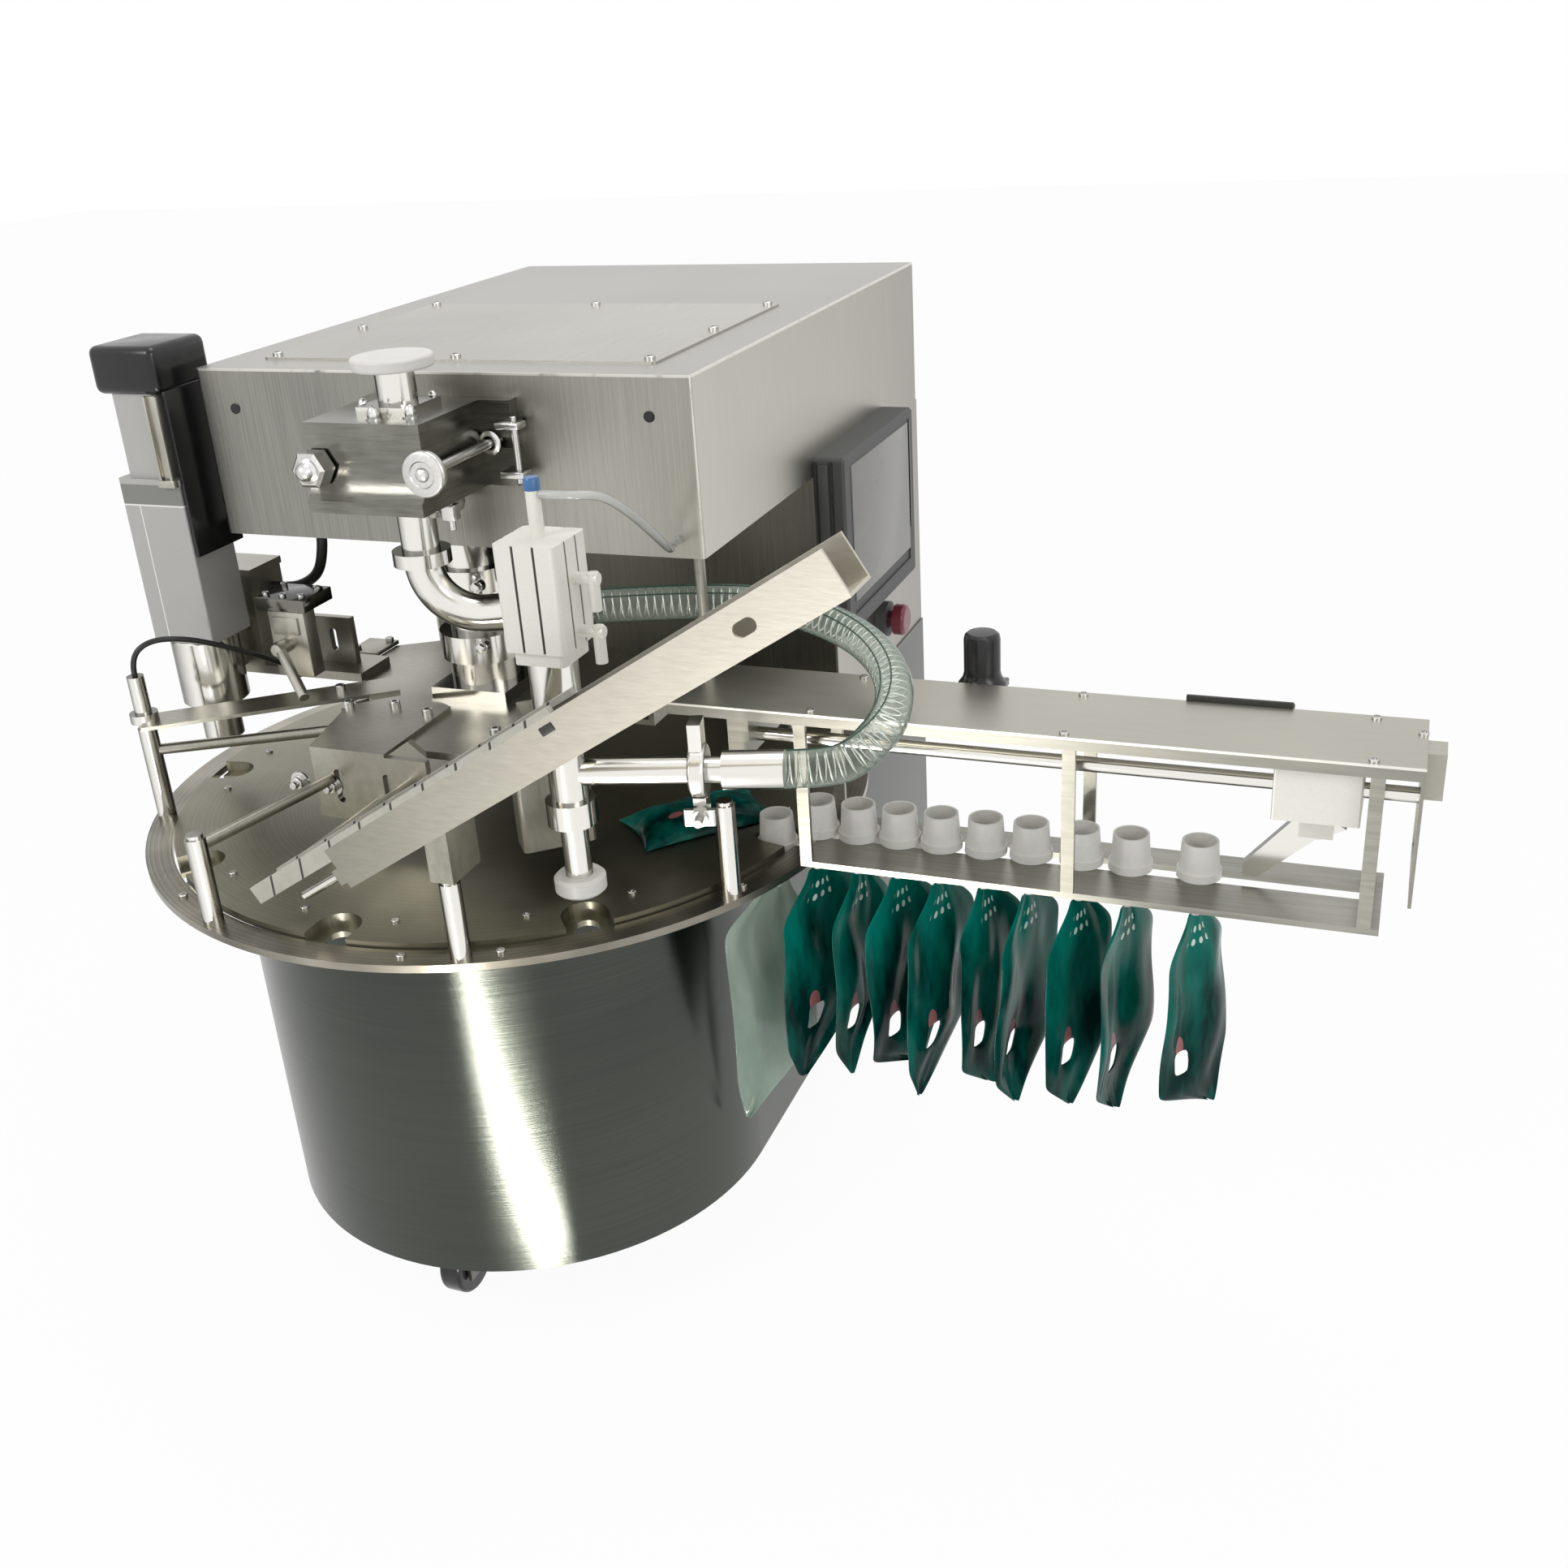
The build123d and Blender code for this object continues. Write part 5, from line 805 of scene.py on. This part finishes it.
filter_bowl = bmesh.new()
turned(filter_bowl, bowl_profile, aim(at(541, 12, 688), up), 32)
block(filter_bowl, (519, -18, 676), (563, 34, 684), 1.5)
raise_piece("filter_bowl", filter_bowl, "machine", black_gloss)
back_angle = bmesh.new()
block(back_angle, (742, -15, 689), (838, -11, 699), 0.8)
block(back_angle, (742, -15, 686), (838, 8, 690), 0.8)
raise_piece("back_angle", back_angle, "machine", shade_and_black)
switch_box = bmesh.new()
block(switch_box, (38, -8, 758), (64, 20, 818.5), 1.5)
turned(switch_box, [(0, 0), (4, 0), (4, 6), (3, 7), (0, 7)], aim(at(51, -8, 784), forward))
raise_piece("switch_box", switch_box, "machine", black_gloss)

# Spout cups: natural polypropylene, milky and a little see-through, in which each pouch hangs.
# The wider band at the base rests on the rail's plates. The first cup rides in the disc's pocket.
cup_plastic = Finish("cup_plastic", Subsurface_Weight=0.12, Subsurface_Scale=0.006, Specular_IOR_Level=0.3)
milk = cup_plastic.grain(150)
cup_face = cup_plastic.blend(milk, (0.74, 0.73, 0.70), (0.84, 0.83, 0.80))
cup_plastic.drive(
    Base_Color=cup_plastic.blend(cup_plastic.edge(0.4), cup_face, (0.84, 0.84, 0.81)),
    Roughness=milk * 0.15 + 0.35,
)
cup_plastic.give("row_spouts")
cup_profile = [(0, 7), (15, 7), (15, 36), (17, 36), (19, 8.6), (21, 8), (21, 0), (10, 0), (10, -22),
               (0, -22)]
first_x, first_y, cup_seat = 341.7, -60.3, 516.3
first_cup = bmesh.new()
turned(first_cup, cup_profile, aim(at(first_x, first_y, cup_seat), up), 32)
block(first_cup, (first_x - 5, first_y - 15, cup_seat - 42), (first_x + 5, first_y + 15, cup_seat - 20), 2)
raise_piece("first_cup", first_cup, "turntable", cup_plastic, "first_pouch")


# Pouches: two laminate films welded at their edges, with a spout welded in the top.
# The row's are printed deep green, with plain dots and a handle hole, and the first one is clear.
def film_finish(name, deep, bright, dots, patch, **fixed):
    """Glossy film, brighter towards its top, with a row of dots and one plain round patch."""
    finish = Finish(name, **fixed)
    sheet = finish.node("ShaderNodeUVMap", {"uv_map": "sheet"})
    across, down = finish.along("X", sheet), finish.along("Y", sheet)
    folds = finish.grain((26, 26, 9), 3.0)
    top = finish.spread(down, 0.35, 1.0)
    tone = finish.blend(finish.spread(folds * 0.75 + top * 0.25, 0.34, 0.62), deep, bright)
    if dots:
        square = finish.node("ShaderNodeVectorMath", {"operation": "MULTIPLY"}, sheet, dots_each_way)
        cell = finish.node("ShaderNodeVectorMath", {"operation": "FRACTION"}, square)
        distance = {"operation": "DISTANCE"}
        from_middle = finish.node("ShaderNodeVectorMath", distance, cell, (0.5, 0.5, 0), output="Value")
        printed = finish.between(across, 0.3, 0.62, 0.01) * finish.between(down, 0.82, 0.94, 0.01)
        tone = finish.blend((from_middle < dot_radius) * printed, tone, dots)
        from_patch = finish.node("ShaderNodeVectorMath", distance, sheet, patch_middle, output="Value")
        tone = finish.blend(from_patch < patch_radius, tone, patch)
    finish.drive(
        Base_Color=tone,
        Roughness=folds * 0.2 + 0.08,
        Normal=finish.bump(finish.grain((40, 40, 16), 2.0), 0.0012, 0.35),
    )
    return finish


dots_each_way, dot_radius, patch_middle, patch_radius = (9, 17, 0), 0.26, (0.30, 0.36, 0), 0.055
green_film = film_finish("green_film", (0.0004, 0.026, 0.023), (0.002, 0.20, 0.155), (0.75, 0.85, 0.80),
                         (0.36, 0.14, 0.14), IOR=1.16)
clear_film = film_finish("clear_film", (0.30, 0.40, 0.33), (0.44, 0.54, 0.46), None, None,
                         Specular_IOR_Level=0.4, Alpha=0.88)
sheet_columns, sheet_rows = 12, 30
hole_middle, hole_half, film_half = (-0.33, -0.43), (0.17, 0.08), 0.5


def smooth_step(value):
    value = min(max(value, 0.0), 1.0)
    return value * value * (3 - 2 * value)


def flat_sheet(columns, rows):
    """A grid two units square, with the UV map that the print lies on."""
    sheet = bmesh.new()
    bmesh.ops.create_grid(sheet, x_segments=columns, y_segments=rows, size=1)
    uv = sheet.loops.layers.uv.new("sheet")
    for face in sheet.faces:
        for loop in face.loops:
            loop[uv].uv = (loop.vert.co.x / 2 + 0.5, loop.vert.co.y / 2 + 0.5)
    return sheet


def smoothed(piece):
    smooth = piece.modifiers.new("smooth", "SUBSURF")
    smooth.levels = smooth.render_levels = 1
    return piece


def pouch(name, top, across, drop, near, far, foot, bow, belly, seed, punched, finish, body, *replaced):
    """Two films welded at their edges, hung from a spout, with folds, a bow and perhaps a handle hole.

    near and far are how wide it is on either side of the spout, and foot is where its lower edges meet.
    """
    across = Vector((*across, 0)).normalized()
    through = Vector((across.y, -across.x, 0))
    shape = bmesh.new()
    for side in (1, -1):
        sheet = flat_sheet(sheet_columns, sheet_rows)
        middles = [(face, face.calc_center_median()) for face in sheet.faces if punched]
        hole = [face for face, middle in middles if abs(middle.x - hole_middle[0]) < hole_half[0]
                and abs(middle.y - hole_middle[1]) < hole_half[1]]
        bmesh.ops.delete(sheet, geom=hole, context="FACES")
        for vert in sheet.verts:
            u, v = vert.co.x, (1 - vert.co.y) / 2
            rim = max(abs(u), abs(vert.co.y))
            shoulder = 0.3 + 0.7 * smooth_step(v / 0.22)
            left, right = -near * shoulder, far * shoulder
            left += (foot - left) * min(max((v - 0.84) / 0.16, 0), 1) * 0.97
            right += (foot - right) * min(max((v - 0.70) / 0.30, 0), 1) * 0.97
            width = left + (right - left) * (u + 1) / 2
            seam = max(0.0, 1 - rim ** 6)
            waves = noise.noise(Vector((u * 1.3 + seed * 7.1, v * 2.2, seed))) * 11 * smooth_step(v / 0.3)
            folds = noise.noise(Vector((u * 3.6, v * 3.1 + seed * 3.7, seed + 9))) * 3.5
            out = side * (film_half + belly * seam * math.sin(math.pi * min(v + 0.12, 1.0)))
            push = out + folds * seam + waves + bow * math.sin(v * 2.2) * v + abs(bow) * 0.6 * u * v
            vert.co = Vector(top) + across * width + through * push - Vector((0, 0, drop * v))
        bmesh.ops.translate(sheet, verts=sheet.verts, vec=at(0, 0, 0) * 1000)
        join(shape, sheet)
    rims = [edge for edge in shape.edges if edge.is_boundary]
    bmesh.ops.bridge_loops(shape, edges=rims, use_pairs=True)
    bmesh.ops.recalc_face_normals(shape, faces=shape.faces)
    piece = smoothed(raise_piece(name, shape, body, finish, *replaced))


rail_y, row_seat, weld_depth, row_drop = -60.26, 537.3, 36, 236
row_places = (388, 431, 474, 517, 562, 607, 656, 703, 767)
row_widths = ((66, 62), (52, 50), (60, 58), (68, 55), (50, 56), (66, 60), (58, 52), (62, 60), (48, 56))
row_feet, row_bows = (-50, -30, 20, -50, 0, -30, -18, -12, 34), (3, -5, 6, -2, 4, -4, 5, -3, 7)
row = zip(row_places, row_widths, row_feet, row_bows)
for number, (x, (near, far), foot, bow) in enumerate(row, 1):
    pouch(f"row_pouch_{number}", (x, rail_y, row_seat - weld_depth), (0.34 + 0.015 * bow, 1), row_drop,
          near, far, foot, bow, 2.6, number, True, green_film, "pouch_row", "row_bags")
pouch("first_bag", (first_x, first_y, cup_seat - weld_depth), (0.74, 0.67), 288, 66, 30, -60, 3, 2.2, 21,
      False, clear_film, "turntable", "first_pouch")

# Loose pouch: a filled one lying on the disc, its film puffed and creased, its edges welded flat.
# It rests on the disc, so its underside is flat.
puffed = flat_sheet(28, 18)
upper = bmesh.ops.duplicate(puffed, geom=puffed.verts[:] + puffed.edges[:] + puffed.faces[:])
raised = {item for item in upper["geom"] if isinstance(item, bmesh.types.BMVert)}
loose_middle = at(250.4, -53.2, 530.4) * 1000
loose_half_length, loose_half_width, loose_height, weld_height = 78, 45, 19, 0.9
heading = Matrix.Rotation(math.radians(45), 4, "Z")
for vert in puffed.verts:
    u, v = vert.co.x, vert.co.y
    pull = 1 - 0.10 * (1 - v * v) * abs(u) - 0.06 * (1 - u * u) * abs(v)
    dome = (max(0.0, 1 - abs(u) ** 3.2) * max(0.0, 1 - abs(v) ** 2.6)) ** 0.6
    crease = noise.noise(Vector((u * 3.1, v * 2.3, 4.0))) * 3.4
    crease += noise.noise(Vector((u * 8, v * 6, 9.0))) * 1.6
    rise = weld_height + (loose_height * dome + crease * dome if vert in raised else -0.6 * dome)
    lying = Vector((loose_half_length * u * pull, loose_half_width * v * pull, rise))
    vert.co = loose_middle + heading @ lying
puffed_shape = bmesh.new()
join(puffed_shape, puffed)
loose = smoothed(raise_piece("puffed_pouch", puffed_shape, "turntable", green_film, "loose_pouch"))

# Stage: a pale floor, soft lamps, and a white surround that the eye and the reflections see.
# A long strip lamp on the floor in front shows only in reflections, as the streak down the drum.
white = (1, 1, 1, 1)


def show_white(tree, lit, target, glow, share):
    """Shows white to the eye, in reflections and through clear parts, and leaves the light as it is."""
    paths = tree.nodes.new("ShaderNodeLightPath")
    seen = paths.outputs["Is Camera Ray"]
    for kind in ("Is Glossy Ray", "Is Transmission Ray"):
        either = tree.nodes.new("ShaderNodeMath")
        either.operation = "MAXIMUM"
        tree.links.new(seen, either.inputs[0])
        tree.links.new(paths.outputs[kind], either.inputs[1])
        seen = either.outputs[0]
    part = tree.nodes.new("ShaderNodeMath")
    part.operation = "MULTIPLY"
    tree.links.new(seen, part.inputs[0])
    part.inputs[1].default_value = share
    plain = tree.nodes.new(glow)
    plain.inputs["Color"].default_value = white
    plain.inputs["Strength"].default_value = 1.0
    mix = tree.nodes.new("ShaderNodeMixShader")
    for made, socket in zip((part.outputs[0], lit, plain.outputs[0]), mix.inputs):
        tree.links.new(made, socket)
    tree.links.new(mix.outputs[0], target)


floor_shape = bmesh.new()
bmesh.ops.create_grid(floor_shape, x_segments=1, y_segments=1, size=12)
floor_paint = Finish("floor_paint", Roughness=0.7)
floor_tone = floor_paint.grain(3)
floor_paint.drive(Base_Color=floor_paint.blend(floor_tone, (0.94, 0.94, 0.94), (0.97, 0.97, 0.97)))
show_white(floor_paint.tree, floor_paint.shader.outputs[0],
           floor_paint.tree.nodes["Material Output"].inputs["Surface"], "ShaderNodeEmission", 0.95)
floor_mesh = bpy.data.meshes.new("floor")
floor_shape.to_mesh(floor_mesh)
floor_shape.free()
floor = bpy.data.objects.new("floor", floor_mesh)
bpy.context.collection.objects.link(floor)
floor_paint.give(floor)

world = bpy.data.worlds.new("studio")
bpy.context.scene.world = world
world.use_nodes = True
sky = world.node_tree.nodes["Background"]
sky.inputs["Color"].default_value = white
sky.inputs["Strength"].default_value = 0.5
show_white(world.node_tree, sky.outputs[0], world.node_tree.nodes["World Output"].inputs["Surface"],
           "ShaderNodeBackground", 1.0)

warm = (1.0, 0.97, 0.9)
for name, place, size, power, target, gloss_only in (
    ("key_lamp", (-1.6, -2.6, 2.6), (1.2, 1.2), 32, (-0.25, -0.1, 0.5), False),
    ("fill_lamp", (2.6, -1.8, 1.8), (1.0, 1.8), 18, (-0.1, 0, 0.6), False),
    ("top_lamp", (0.2, 0.4, 3.4), (1.6, 1.6), 24, (-0.1, 0, 0.6), False),
    ("strip_lamp", (-0.07, -1.08, 0.01), (1.1, 0.08), 16, (-0.07, -1.08, 1.0), True),
):
    lamp = bpy.data.lights.new(name, "AREA")
    lamp.shape = "RECTANGLE"
    lamp.size, lamp.size_y = size
    lamp.energy = power
    lamp.color = warm if gloss_only else white[:3]
    stand = bpy.data.objects.new(name, lamp)
    stand.matrix_world = aim(place, Vector(place) - Vector(target))
    stand.visible_camera = False
    stand.visible_diffuse = not gloss_only
    bpy.context.collection.objects.link(stand)

# Camera: the photograph's own view, from the front right and above.
camera_place, focal_length, sensor_width = (0.63604, -1.60198, 1.28643), 37.78, 36
yaw, pitch, roll = math.radians(22.027), math.radians(24.776), math.radians(-3.648)
camera_data = bpy.data.cameras.new("camera")
camera_data.sensor_width = sensor_width
camera_data.lens = focal_length
camera = bpy.data.objects.new("camera", camera_data)
camera.matrix_world = (
    Matrix.Translation(camera_place)
    @ Matrix.Rotation(yaw, 4, "Z")
    @ Matrix.Rotation(math.pi / 2 - pitch, 4, "X")
    @ Matrix.Rotation(roll, 4, "Z")
)
bpy.context.collection.objects.link(camera)
bpy.context.scene.camera = camera
bpy.context.scene.view_settings.view_transform = "Standard"
